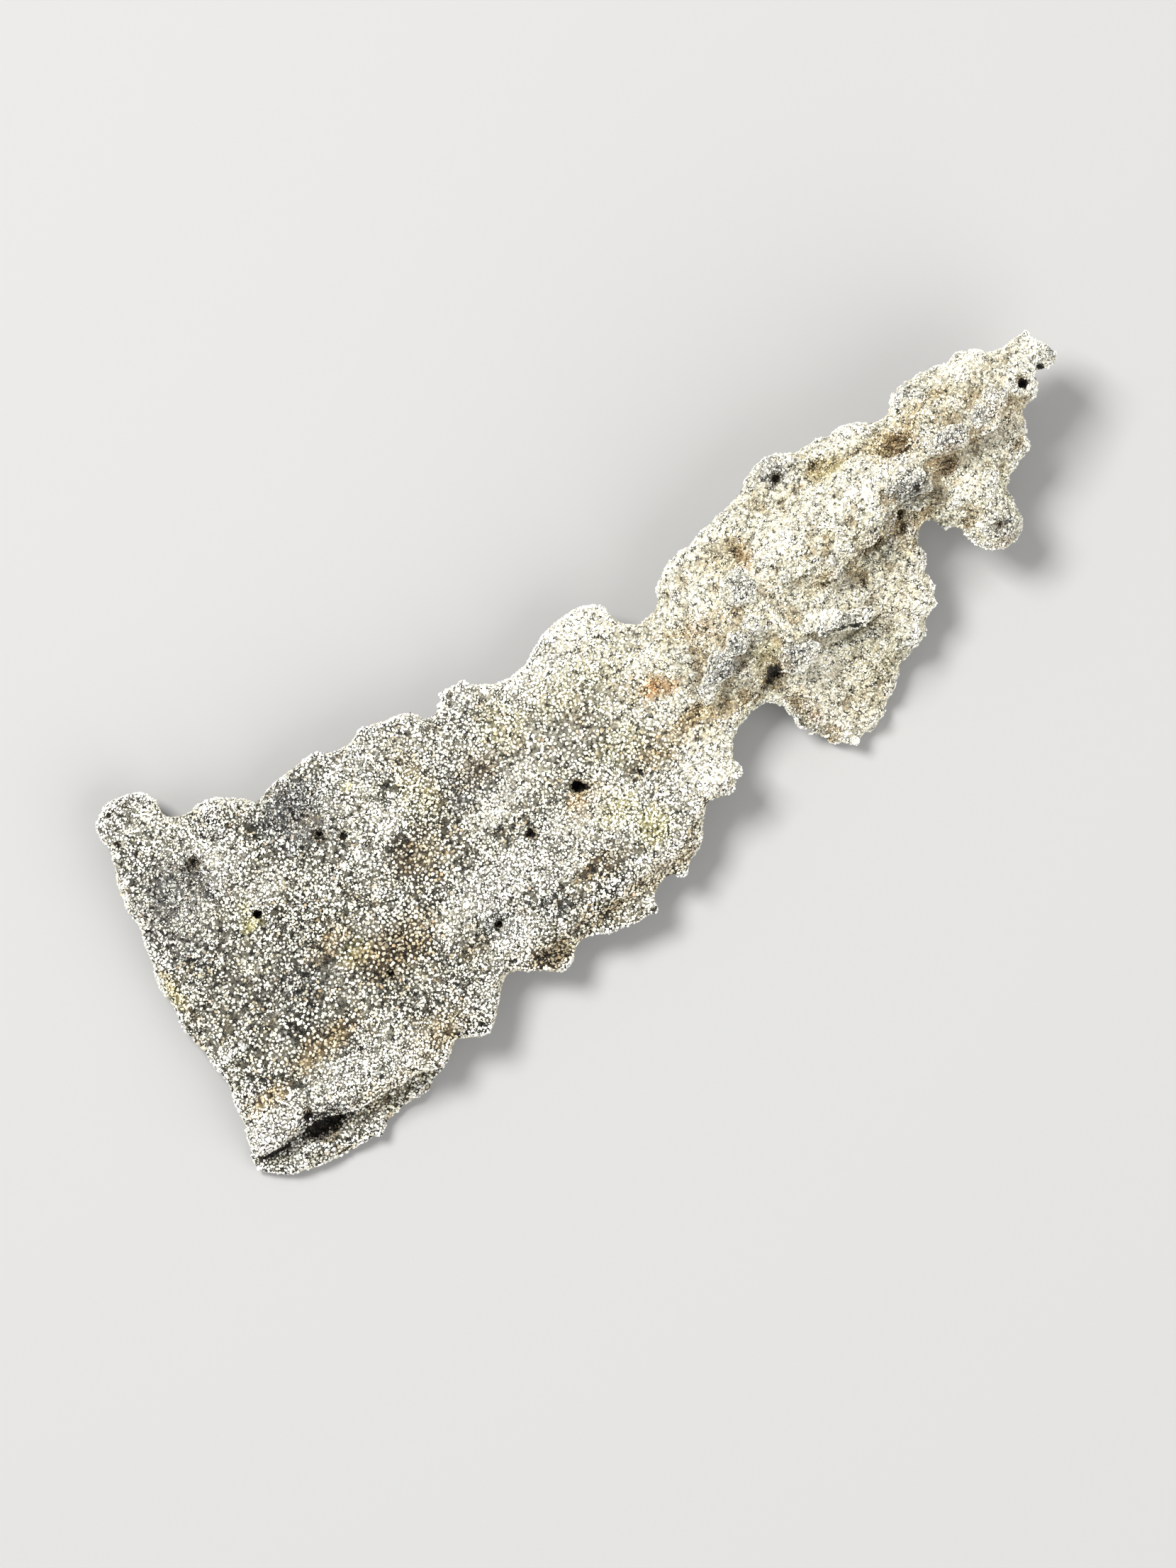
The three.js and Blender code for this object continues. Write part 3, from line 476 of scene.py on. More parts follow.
YELLOW = [
    (-13.7, 4.3, 0.35, 0.3, 1.0), (-22.0, 1.6, 0.7, 0.4, 0.8), (-21.8, 2.5, 0.4, 0.4, 0.6),
    (-2.1, -6.9, 1.1, 1.0, 0.8), (-3.1, -5.2, 1.2, 0.8, 0.8), (-18.6, -2.8, 1.0, 0.6, 0.4),
    (-27.6, 1.2, 0.6, 1.0, 0.5), (-4.6, 1.8, 0.8, 0.5, 0.4), (16.2, 2.4, 1.0, 0.7, 0.5),
    (7.8, -3.2, 1.0, 0.6, 0.5), (-11.0, 1.5, 1.2, 1.5, 0.3), (-2.0, 1.6, 1.6, 1.2, 0.3),
    (0.6, 1.6, 2.0, 1.4, 0.3), (12.3, -6.4, 1.4, 1.8, 0.4), (-5.4, 2.0, 1.2, 1.6, 0.3),
    (-1.0, -2.6, 1.6, 1.0, 0.3),
]
# Golden stains; those in the ridge's hollows and under its step are painted shade as well.
GOLDEN = [
    (9.0, 2.2, 1.6, 1.0, 0.5), (5.2, 0.3, 1.6, 0.6, 0.6), (16.0, 2.6, 1.1, 0.6, 0.8),
    (19.2, 1.7, 1.1, 0.7, 0.9), (21.2, 2.0, 1.0, 0.6, 0.7), (23.2, 2.1, 1.0, 0.3, 0.6),
    (25.6, -0.9, 1.2, 0.8, 0.6), (17.3, -3.1, 0.6, 0.8, 0.7), (13.4, -5.8, 1.2, 0.8, 0.4),
    (12.8, -6.8, 0.4, 1.2, 0.5), (15.7, -1.9, 1.2, 0.3, 0.6), (14.3, -2.6, 0.5, 0.8, 0.6),
    (12.4, -2.0, 0.8, 0.4, 0.7), (3.0, -3.6, 1.6, 0.5, 0.9), (6.0, -4.5, 1.8, 0.4, 0.6),
    (18.8, -2.7, 0.8, 0.4, 0.8), (24.9, -2.5, 0.5, 0.3, 0.7), (7.3, -3.3, 1.6, 0.5, 0.4),
    (20.6, 0.9, 0.5, 0.8, 0.5), (-26.8, -6.4, 1.2, 0.5, 0.6), (-18.6, -3.2, 1.2, 0.5, 0.6),
    (-19.0, -1.6, 1.0, 0.5, 0.5), (-24.0, -6.0, 1.2, 0.5, 0.5), (-22.0, -5.9, 0.8, 0.5, 0.4),
    (-27.4, 1.0, 0.3, 1.6, 0.7), (-26.4, 7.5, 0.4, 0.9, 0.6), (-4.4, -3.6, 0.8, 0.5, 0.5),
    (1.5, -4.4, 1.4, 0.4, 0.5), (-10.5, 2.5, 0.8, 2.2, 0.3), (-5.2, 1.5, 0.5, 1.6, 0.3),
    (-1.8, 0.6, 0.8, 1.6, 0.3), (-20.6, -9.8, 2.8, 0.7, 0.4), (-17.6, -8.6, 2.0, 0.9, 0.3),
    (11.0, -7.7, 2.2, 2.0, 0.45), (15.5, -5.0, 1.6, 1.4, 0.3), (24.0, 1.4, 2.6, 1.0, 0.25),
    (1.8, -0.9, 1.4, 0.8, 0.5),
]
OPEN = [  # where the grains are coarse and lie apart
    (-17.5, -3.6, 4.5, 2.0, 1.0), (-23.0, -4.4, 3.6, 1.4, 1.0), (-7.6, 1.0, 3.4, 1.6, 0.9),
    (-13.0, -1.2, 2.4, 1.6, 0.8), (-3.0, -0.6, 3.2, 2.0, 0.7), (-20.0, 3.0, 3.0, 2.0, 0.3),
    (-24.0, -1.0, 3.0, 1.5, 0.4), (0.0, -3.6, 2.2, 1.0, 0.6),
]
PALE = [  # cleaner and whiter sand; those on the fin and the flank are also painted light
    (-21.3, 5.2, 1.5, 1.4, 0.8), (-20.7, 2.8, 1.6, 1.0, 0.6), (-27.7, -7.6, 1.7, 0.9, 1.0),
    (-22.6, -7.6, 1.9, 1.0, 0.65), (-20.2, -9.2, 2.2, 0.8, 0.35), (-16.4, -2.6, 1.6, 0.7, 0.8),
    (-10.5, -4.4, 4.0, 1.1, 0.9), (-5.0, -4.6, 3.0, 1.0, 0.7), (-6.6, -4.0, 0.8, 0.9, 1.0),
    (-11.5, -7.3, 1.7, 0.9, 0.8), (-7.6, -5.9, 1.6, 0.8, 0.7), (1.2, -6.3, 2.4, 1.2, 0.9),
    (-3.2, -8.7, 1.5, 0.8, 0.8), (-14.0, 4.8, 1.8, 1.2, 0.45), (-11.6, 4.4, 1.4, 1.2, 0.45),
    (-12.3, 1.6, 1.5, 1.0, 0.6), (-2.4, 2.6, 2.6, 1.8, 0.8), (0.8, 2.6, 2.4, 2.0, 0.8),
    (-2.6, -5.8, 2.0, 1.6, 0.7), (-9.6, 2.6, 1.5, 1.0, 0.4), (-7.8, -1.2, 1.5, 0.8, 0.5),
    (-14.8, -8.8, 1.3, 0.7, 0.6), (2.5, 0.4, 1.3, 0.7, 0.7), (2.4, -2.5, 1.2, 0.5, 0.7),
    (17.2, 0.45, 3.2, 0.6, 1.0), (12.4, 0.6, 2.6, 0.7, 0.6), (18.5, 3.3, 2.2, 0.5, 0.8),
    (24.8, 2.6, 1.8, 0.6, 0.8), (8.6, 3.3, 2.6, 0.5, 0.6), (28.2, 1.2, 1.2, 0.5, 0.8),
    (7.0, 1.6, 1.8, 0.7, 0.4), (12.2, -3.2, 1.9, 0.8, 1.0), (14.5, 1.6, 2.0, 0.8, 0.5),
    (21.6, -2.4, 1.4, 0.8, 0.6), (15.5, -4.6, 1.6, 1.0, 0.5), (9.6, -8.6, 1.0, 0.8, 0.25),
    (9.2, -1.6, 1.4, 1.0, 0.5), (11.5, -6.3, 2.7, 1.6, 0.9), (24.8, -1.7, 1.8, 0.9, 0.9),
    (14.6, -4.0, 1.4, 0.6, 0.5), (-24.0, 3.6, 1.4, 0.8, 0.3), (-18.7, 0.6, 1.6, 0.8, 0.3),
    (15.6, -6.2, 1.4, 0.8, 0.8), (14.6, -5.4, 1.2, 1.2, 0.5),
]
DIM = [  # greyer and duller sand; the small patches on holes and crevices are painted shade
    (-23.5, -2.0, 5.0, 5.5, 0.3), (-18.0, -3.6, 4.0, 3.0, 0.3), (-26.0, 3.0, 2.0, 4.0, 0.25),
    (-25.6, -8.9, 1.5, 0.8, 0.9), (-22.7, 5.8, 0.7, 0.6, 0.7), (-24.6, 5.5, 1.3, 1.0, 0.5),
    (-17.1, 5.2, 1.2, 0.9, 0.6), (-16.5, 3.2, 0.7, 0.5, 0.4), (-15.8, 2.2, 0.5, 0.4, 0.6),
    (-17.4, 2.4, 0.7, 0.6, 0.3), (-24.0, -1.8, 0.7, 0.6, 0.9), (-25.6, 0.3, 0.6, 0.5, 0.6),
    (-26.0, -3.5, 1.2, 0.8, 0.7), (-23.4, -4.2, 1.0, 0.6, 0.9), (-21.8, -3.7, 0.8, 0.5, 0.8),
    (-20.0, -2.2, 1.3, 0.6, 0.9), (-17.3, -4.4, 1.5, 0.8, 1.0), (-24.0, -6.0, 1.5, 0.5, 0.8),
    (-21.8, -5.6, 1.0, 0.5, 0.7), (-13.4, -0.3, 0.9, 1.0, 0.9), (-7.7, 0.7, 0.8, 0.6, 0.8),
    (-3.0, 0.4, 0.8, 1.3, 0.4), (-9.0, -2.4, 0.6, 0.4, 0.7), (-7.5, -3.5, 0.5, 0.4, 0.9),
    (-1.2, -4.2, 0.6, 0.5, 0.9), (-5.9, -6.8, 1.4, 0.35, 0.6), (-8.8, -7.3, 0.7, 0.6, 0.7),
    (-12.0, -6.1, 0.7, 0.6, 0.8), (-17.5, -7.0, 1.4, 0.8, 0.6), (-26.0, 7.6, 0.6, 0.9, 0.5),
    (-25.7, 4.6, 0.4, 1.1, 0.7), (-9.6, 0.0, 1.8, 0.7, 0.2), (-17.0, -9.3, 1.2, 0.5, 0.5),
    (-10.8, -9.3, 1.4, 0.6, 0.7), (-13.4, -7.9, 1.0, 0.5, 0.4), (2.5, 1.6, 0.8, 0.7, 0.5),
    (-20.6, 3.8, 0.8, 0.5, 0.4), (-18.9, 5.2, 0.4, 1.0, 0.5), (9.9, 1.6, 0.4, 0.7, 0.8),
    (19.0, -1.3, 0.9, 0.5, 0.8), (21.2, -1.0, 0.9, 0.6, 0.9), (20.0, 1.1, 0.9, 0.6, 0.7),
    (17.6, -2.0, 0.6, 0.8, 0.7), (6.4, -2.95, 1.2, 0.3, 0.6), (13.8, 3.7, 0.6, 0.6, 0.8),
    (21.9, 3.2, 0.5, 0.4, 0.7), (21.8, -5.4, 0.6, 0.5, 0.8), (7.7, -7.2, 0.5, 2.0, 0.9),
    (12.0, -7.9, 0.5, 0.6, 0.8), (7.7, -4.5, 1.0, 0.6, 0.9), (15.6, -2.0, 1.3, 0.4, 0.6),
    (18.5, -0.9, 0.7, 0.5, 0.5),
]
print(sum(map(len, (GREY, BROWN, RUST, YELLOW, GOLDEN, OPEN, PALE, DIM))), "patches")

# %% [markdown]
# ## From patches to stains
# The stain of a point is a share from 0 to 1. On the upper face it comes from the patches, and
# on the underside from slow noise. Hollows gather brown dirt and painted shade, knobs are worn
# clean and painted lighter, and the ridge's knobs are greyer than its valleys. The blade's lower
# edge gets painted shade. One function does it for the crust and the grains.

# %% The share of every stain
DIRT_AND_SHADE_DEPTHS = (0.01, 0.18)  # millimetres into a hollow, from the first dirt and painted shade to the most
WEAR_AND_LIGHT_HEIGHTS = (0.03, 0.18)  # millimetres up a knob, from the first wear and painted light to bare white sand
UPWARD = (-0.35, 0.15)  # upward part of a normal, from the underside to the upper face
DRIFT_SIZE, SPREAD_SIZE = 4.0, 2.2  # millimetres, for a slow and a quicker noise
RIDGE_SAND = (-1.5, 6.0)  # along the piece, from the blade's sand to the ridge's
RIDGE_STRAY = 3  # how many millimetres of stray the slow noise gives that border
# Painted shade on the blade's lower edge, which turns down and away from the light:
EDGE_TURN = (0.3, 0.9)  # the blade's lower edge: how far its normals turn outwards,
EDGE_ACROSS = (5.0, 7.5)  # where it lies across the piece
EDGE_ALONG = (-4.0, 0.0)  # and along it, counted towards the broad end
EDGE_SHADE = 0.35
# Stains by noise alone: the noise levels from none to full, and how strong they get
PALE_DRIFT, PALE_NOISE = (0.5, 0.8), 0.5
GREY_DRIFT, GREY_UNDER = (0.55, 0.8), 0.7
BROWN_SPREAD, BROWN_UNDER = (0.5, 0.75), 0.7
BROWN_DIRT_AND_SHADE = 0.55  # how brown the dirt and painted shade in hollows are
PALE_CLEANS = 0.7  # how much of the dirt and painted shade pale sand lacks
KNOB_GREY, KNOB_LEAST = 0.5, 0.4  # grey on the ridge's worn knobs, and the least of it
GOLD_LEAST, GOLD_STRAY = 0.6, 0.8  # golden patches come and go with the noise
GOLD_DIRT_AND_SHADE = 0.45  # how golden the ridge's dirt and painted shade are
# Cream sand on the blade, and what the neck, the ridge and the noise add to it
CREAM_BLADE, CREAM_NECK, CREAM_RIDGE, CREAM_STRAY = 0.12, 0.16, 0.78, 0.5
NECK_SAND = (-10.0, -3.0)  # along the piece, where the blade's sand turns creamier


def patches(points, spots):
    """How strongly each point is covered by soft ovals."""
    amount = np.zeros(len(points))
    for x, y, wide, high, strength in spots:
        dx, dy = points[:, 0] - x - OFFSET[0], points[:, 1] - y - OFFSET[1]
        away = (dx / wide) ** 2 + (dy / high) ** 2
        amount = np.maximum(amount, strength * np.exp(-away * away))
    return amount


def zones(points, normals, hollow):
    """The share of each stain, and of painted shade and light, at each point. The patches belong to the
    upper face.
    """
    dirt_and_shade = ramp(hollow, *DIRT_AND_SHADE_DEPTHS)
    clean_and_lit = ramp(-hollow, *WEAR_AND_LIGHT_HEIGHTS)
    upper = ramp(normals[:, 2], *UPWARD)
    hidden = 1 - upper
    drift = wander(points, DRIFT_SIZE, seed=1)
    spread = wander(points, SPREAD_SIZE, seed=2)
    ridge = ramp(points[:, 0] + RIDGE_STRAY * (drift - 0.5), *RIDGE_SAND)
    # Painted shade: the blade's lower edge is painted dim and brown.
    lower_edge_shade = ramp(-normals[:, 1], *EDGE_TURN) * ramp(-points[:, 1], *EDGE_ACROSS)
    lower_edge_shade = lower_edge_shade * ramp(-points[:, 0], *EDGE_ALONG)
    dim = np.maximum(patches(points, DIM), EDGE_SHADE * lower_edge_shade) * upper
    pale = (patches(points, PALE) + PALE_NOISE * ramp(drift, *PALE_DRIFT)).clip(0, 1)
    pale = pale * upper * (1 - dim)
    grey = (patches(points, GREY) + KNOB_GREY * ridge * clean_and_lit * (KNOB_LEAST + spread)) * upper
    grey = grey + GREY_UNDER * hidden * ramp(drift, *GREY_DRIFT)
    # The brown share holds painted shade too: on the lower edge, and in the hollows below.
    brown = (patches(points, BROWN) + EDGE_SHADE * lower_edge_shade) * upper
    brown = brown + BROWN_UNDER * hidden * ramp(spread, *BROWN_SPREAD)
    brown = brown + BROWN_DIRT_AND_SHADE * dirt_and_shade * (1 - PALE_CLEANS * pale)
    golden = patches(points, GOLDEN) * (GOLD_LEAST + GOLD_STRAY * (1 - spread))
    golden = np.maximum(golden, GOLD_DIRT_AND_SHADE * dirt_and_shade * ridge * (1 - pale))
    cream = CREAM_BLADE + CREAM_NECK * ramp(points[:, 0], *NECK_SAND)
    cream = cream + CREAM_RIDGE * ridge + CREAM_STRAY * (spread - 0.5)
    return {
        "dirt_and_shade": dirt_and_shade,
        "clean_and_lit": clean_and_lit,
        "dim": dim,
        "pale": pale,
        "grey": grey.clip(0, 1),
        "brown": brown.clip(0, 1),
        "rust": patches(points, RUST) * upper,
        "yellow": patches(points, YELLOW) * upper,
        "golden": golden.clip(0, 1) * upper,
        "cream": cream.clip(0, 1),
    }


places, normals = read_points(crust.data)
zone = zones(places, normals, hollow)
print("mean shares", {name: round(float(share.mean()), 2) for name, share in zone.items()})

# %% [markdown]
# ## The glass between the grains
# The crust's own colour is the dark silica glass that shows in the gaps. It is mixed from the
# stains and kept on the mesh as a colour attribute, which the finish reads. An attribute needs no
# unwrapping, which a crust as rough as this would make hard.

# %% Colour of the glass
GLASS_GREY_BROWN = np.array([0.014, 0.0125, 0.0085])
GLASS_CREAM = np.array([0.50, 0.465, 0.355])
GLASS_PALE = np.array([0.19, 0.18, 0.145])
GLASS_WHITE = np.array([0.61, 0.57, 0.43])
GLASS_GREY = np.array([0.052, 0.054, 0.058])
GLASS_BROWN = np.array([0.038, 0.024, 0.011])
GLASS_GOLDEN = np.array([0.20, 0.138, 0.062])
GLASS_RUST = np.array([0.26, 0.105, 0.025])
GLASS_YELLOW = np.array([0.26, 0.23, 0.08])
HOLE_SHADE_BLACK = np.array([0.012, 0.010, 0.009])
HOLE_SPREAD = 1.2  # how soon a hole's painted shade is wholly black on the way to its middle
LIT_KNOB_LIGHTER = 1.5  # painted light: the glass on worn knobs is made this much lighter
DIM_DARKER = 0.55  # the glass in dim patches
GLASS_SHARES = {  # how much of each stain the glass takes
    "cream": 0.8, "grey": 0.8, "pale": 0.6, "clean_and_lit": 0.6, "dim": 1.0,
    "brown": 0.8, "golden": 0.7, "rust": 0.8, "yellow": 0.7,
}


def mix(a, b, share):
    """Colours between a and b, by a share for each point."""
    share = np.asarray(share)[:, None]
    return a * (1 - share) + b * share


def stained(colour, name, stain):
    """The glass with one stain mixed in, by its share at each point."""
    return mix(colour, stain, GLASS_SHARES[name] * zone[name])


def colour_mesh(mesh, colours, name="tint"):
    """Keep a colour for each point on the mesh."""
    layer = mesh.color_attributes.new(name, "FLOAT_COLOR", "POINT")
    rgba = np.ones((len(colours), 4))
    rgba[:, :3] = colours
    layer.data.foreach_set("color", rgba.ravel())


glass = np.tile(GLASS_GREY_BROWN, (len(places), 1))
glass = stained(glass, "cream", GLASS_CREAM)
glass = stained(glass, "grey", GLASS_GREY)
glass = stained(glass, "pale", mix(GLASS_PALE, GLASS_WHITE, zone["cream"]))
# Painted light: worn knobs get lighter glass, as if lit.
glass = stained(glass, "clean_and_lit", LIT_KNOB_LIGHTER * glass)
glass = stained(glass, "dim", DIM_DARKER * glass)
glass = stained(glass, "brown", mix(GLASS_BROWN, GLASS_GOLDEN, zone["cream"]))
glass = stained(glass, "golden", GLASS_GOLDEN)
glass = stained(glass, "rust", GLASS_RUST)
glass = stained(glass, "yellow", GLASS_YELLOW)
# Painted shade: holes and crevices are painted black towards their middles.
glass = mix(glass, HOLE_SHADE_BLACK, np.clip(painted_hole_shade * HOLE_SPREAD, 0, 1))
colour_mesh(crust.data, glass)
print("mean glass colour", glass.mean(axis=0).round(3))

# %% [markdown]
# ## Helpers for finishes
# Both finishes are small webs of nodes. A few helpers keep them readable: each adds one node,
# links it, and gives back the socket that comes out of it.

# %% Node helpers


def new_finish(name):
    """A new material, its nodes and its shader."""
    finish = bpy.data.materials.new(name)
    finish.use_nodes = True
    tree = finish.node_tree
    return finish, tree, tree.nodes["Principled BSDF"]


def node(tree, kind, **settings):
    """A new node with its sockets and settings filled in."""
    made = tree.nodes.new(kind)
    for name, value in settings.items():
        if name in made.inputs:
            made.inputs[name].default_value = value
        else:
            setattr(made, name, value)
    return made


def rescale(tree, value, start, end, low=0.0, high=1.0):
    """Turn values from start to end into values from low to high."""
    made = node(tree, "ShaderNodeMapRange")
    made.inputs["From Min"].default_value = start
    made.inputs["From Max"].default_value = end
    made.inputs["To Min"].default_value = low
    made.inputs["To Max"].default_value = high
    tree.links.new(value, made.inputs["Value"])
    return made.outputs["Result"]


def times(tree, a, b):
    """Two values multiplied."""
    made = node(tree, "ShaderNodeMath", operation="MULTIPLY")
    tree.links.new(a, made.inputs[0])
    tree.links.new(b, made.inputs[1])
    return made.outputs["Value"]


def brightened(tree, colour, factor):
    """A colour multiplied by a value."""
    made = node(tree, "ShaderNodeVectorMath", operation="SCALE")
    tree.links.new(colour, made.inputs[0])
    tree.links.new(factor, made.inputs["Scale"])
    return made.outputs["Vector"]


def roughen(tree, shader, height, strength, distance):
    """A fine bump for the shader, from any height."""
    bump = node(tree, "ShaderNodeBump", Strength=strength, Distance=distance)
    tree.links.new(height, bump.inputs["Height"])
    tree.links.new(bump.outputs["Normal"], shader.inputs["Normal"])


HELPERS = (new_finish, node, rescale, times, brightened, roughen)
print("helpers:", ", ".join(helper.__name__ for helper in HELPERS))

# %% [markdown]
# ## The finish of the glass
# Silica glass that froze full of dust is half matt. One even dark colour would look like tar. So
# the finish takes the stain colour, darkens it towards the rims of fine cells, breaks it up with
# noise, and lays pale specks on it, which are dust too fine to sow. The same cells pit the glass,
# so that it catches the light.

# %% Glass finish
CELL_SCALE = 9000.0  # cells for each metre: about a ninth of a millimetre each
CLOUD_SCALE = 3600.0
SPECK_SCALE = 13000.0
CELL_DISTANCE, CELL_SHADE = (0.0, 0.9), (1.35, 0.5)  # lighter in a cell's middle than at its rim
CLOUD_SPREAD, CLOUD_SHADE = (0.41, 0.61), (0.1, 1.7)  # the noise from nearly black to bright
SPECK_DRAW = (0.62, 0.78)  # of the specks' random numbers, only the highest show
SPECK_EDGE = (0.55, 0.3)  # from a speck's rim to its middle
SPECK_TINT = (0.55, 0.58, 0.65)  # a speck takes this share of the stain,
SPECK_PALE = (0.08, 0.074, 0.056)  # and this much of its own colour
GLASS_ROUGH = (0.38, 0.8)  # from satin to matt, by the same noise
GLASS_SHINE = 0.12  # weak, because dust scatters most of the light
GLASS_PITS, PIT_DEEP = 0.6, 0.00005
COLOUR_A, COLOUR_B, COLOUR_OUT = 6, 7, 2  # sockets of a Mix node that mixes colours


def glass_finish():
    """Dark glass, half matt, with fine dust in it."""
    finish, tree, shader = new_finish("dusty_glass")
    link = tree.links.new
    place = node(tree, "ShaderNodeTexCoord").outputs["Object"]
    tint = node(tree, "ShaderNodeAttribute", attribute_name="tint").outputs["Color"]
    cells = node(tree, "ShaderNodeTexVoronoi", Scale=CELL_SCALE, Randomness=1.0)
    cloud = node(tree, "ShaderNodeTexNoise", Scale=CLOUD_SCALE, Detail=4.0, Roughness=0.6)
    specks = node(tree, "ShaderNodeTexVoronoi", Scale=SPECK_SCALE, Randomness=1.0)
    for texture in (cells, cloud, specks):
        link(place, texture.inputs["Vector"])
    shade = rescale(tree, cells.outputs["Distance"], *CELL_DISTANCE, *CELL_SHADE)
    breakup = rescale(tree, cloud.outputs["Fac"], *CLOUD_SPREAD, *CLOUD_SHADE)
    draw = node(tree, "ShaderNodeSeparateColor")
    link(specks.outputs["Color"], draw.inputs["Color"])
    some = rescale(tree, draw.outputs["Red"], *SPECK_DRAW)
    middle = rescale(tree, specks.outputs["Distance"], *SPECK_EDGE)
    speck = node(tree, "ShaderNodeVectorMath", operation="MULTIPLY_ADD")
    speck.inputs[1].default_value = SPECK_TINT
    speck.inputs[2].default_value = SPECK_PALE
    link(tint, speck.inputs[0])
    dusted = node(tree, "ShaderNodeMix", data_type="RGBA")
    link(times(tree, some, middle), dusted.inputs["Factor"])
    link(brightened(tree, tint, times(tree, shade, breakup)), dusted.inputs[COLOUR_A])
    link(speck.outputs["Vector"], dusted.inputs[COLOUR_B])
    link(dusted.outputs[COLOUR_OUT], shader.inputs["Base Color"])
    gloss = rescale(tree, cloud.outputs["Fac"], 0.0, 1.0, *GLASS_ROUGH)
    link(gloss, shader.inputs["Roughness"])
    shader.inputs["Specular IOR Level"].default_value = GLASS_SHINE
    roughen(tree, shader, cells.outputs["Distance"], GLASS_PITS, PIT_DEEP)
    return finish


crust.data.materials.append(glass_finish())
print("crust finished with", crust.data.materials[0].name)

# %% [markdown]
# ## Sowing the grains
# The grains are what the eye sees. They are real geometry: small angular pebbles, each partly
# sunk in the glass. Points are dropped at random on the crust, each with a grain size that suits
# the sand there, and noise leaves small bare spots, where the glass shows. A particle system
# could scatter them too, but plain arrays give each grain its own size, colour and room.

# %% Grain sizes, as radii in millimetres
SEED = 20
RADIUS_PLAIN = 0.082
RADIUS_COARSE = 0.110
RADIUS_FINE = 0.066
RADIUS_UNDER = 0.145
RADIUS_DUST = 0.046
RADIUS_STONE = 0.098  # grains from this size up get the roundest shape
RADIUS_BLOCK = 0.075  # grains smaller than this get the plainest shape

random = np.random.RandomState(SEED)
print("grain radii from", RADIUS_DUST, "to", RADIUS_UNDER, "mm")

# %% [markdown]
# ## Where a grain may lie
# A point on a random triangle, chosen by area, is a fair throw over the whole skin. A grain is
# kept only where it leaves enough room to those kept before it. The room is a little less than
# the grains' full reach, so neighbours touch and some overlap, as in the melt. A grid of cells
# keeps the search for neighbours short.

# %% Drop points on the crust
SAND_TRIES = 480000  # points that are dropped for the sand
DUST_TRIES = 220000  # and for the dust between it


def drop_points(thing, count):
    """Random points on the surface, with its direction and hollowness there."""
    mesh = thing.data
    mesh.calc_loop_triangles()
    corners = np.empty(len(mesh.loop_triangles) * 3, dtype=np.int32)
    mesh.loop_triangles.foreach_get("vertices", corners)
    corners = corners.reshape(-1, 3)
    places, normals = read_points(mesh)
    a, b, c = (places[corners[:, i]] for i in range(3))
    area = np.linalg.norm(np.cross(b - a, c - a), axis=1) / 2
    chosen = random.choice(len(area), size=count, p=area / area.sum())
    u, v = random.rand(count), random.rand(count)
    fold = u + v > 1
    u[fold], v[fold] = 1 - u[fold], 1 - v[fold]
    w = 1 - u - v
    weights = np.stack([w, u, v], axis=1)[:, :, None]
    spots = (places[corners[chosen]] * weights).sum(axis=1)
    facing = (normals[corners[chosen]] * weights).sum(axis=1)
    facing /= np.linalg.norm(facing, axis=1, keepdims=True)
    deep = (hollow[corners[chosen]] * weights[:, :, 0]).sum(axis=1)
    return spots, facing, deep, area.sum()


def keep_clear(spots, radii, others=(), other_radii=()):
    """Which grains to keep, so that each is clear of the others and of those kept before it."""
    cell = 2 * float(max(radii.max(), max(other_radii, default=0)))
    grid = {}
    for (x, y, z), radius in zip(others, other_radii):
        grid.setdefault((int(x // cell), int(y // cell), int(z // cell)), []).append((x, y, z, radius))
    around = [(i, j, k) for i in (-1, 0, 1) for j in (-1, 0, 1) for k in (-1, 0, 1)]
    kept = []
    for index, ((x, y, z), radius) in enumerate(zip(spots.tolist(), radii.tolist())):
        cx, cy, cz = int(x // cell), int(y // cell), int(z // cell)
        free = True
        for i, j, k in around:
            for ox, oy, oz, other in grid.get((cx + i, cy + j, cz + k), ()):
                if (ox - x) ** 2 + (oy - y) ** 2 + (oz - z) ** 2 < (radius + other) ** 2:
                    free = False
                    break
            if not free:
                break
        if free:
            grid.setdefault((cx, cy, cz), []).append((x, y, z, radius))
            kept.append(index)
    return np.array(kept)


print(SAND_TRIES, "points to drop for sand and", DUST_TRIES, "for dust")

# %% [markdown]
# ## Sand first, then dust
# A grain that is kept wins its place, so the sand is sown first, coarse where the blade is open
# and fine on the ridge, and dust fills what is left. Hardly any grain lies in the painted shade of a hole.
# There are more bare spots in dim patches and hollows, and fewer in pale patches and on the ridge.

# %% Sow
CLOSENESS = 0.74  # the share of their reach that neighbours keep apart
ROOM_COARSE = 0.12  # coarse grains keep this much further apart,
ROOM_UNDER = 0.2  # and so do those of the underside
SIZE_LEAST, SIZE_STRAY = 0.72, 0.56  # a radius is drawn between 0.72 and 1.28 of its size
DUST_LEAST, DUST_STRAY = 0.8, 0.4  # and of dust between 0.8 and 1.2
UNDER_SAND = (-0.3, 0.1)  # upward part of a normal, from the underside's sand to the rest
FINE_ALONG, FINE_RIDGE = (2.0, 7.0), 0.8  # where the ridge's sand turns fine, and how fine
GAP_SIZE = 0.26  # how wide the bare spots are, in millimetres
GAP_LEVEL = 0.38  # noise below this level leaves a bare spot
GAP_RIDGE, GAP_DIM, GAP_PALE, GAP_HOLLOW = -0.12, 0.12, -0.2, 0.3  # these shift the level
HOLLOW_MOST = 0.2  # deeper hollows count as this deep
DARK_LEAST, DARK_STRAY = 0.4, 0.3  # how deep a hole's painted shade may be where a grain lies
SIDEWAYS = -0.1  # a normal that points further down than this gets no bare spots and no dust


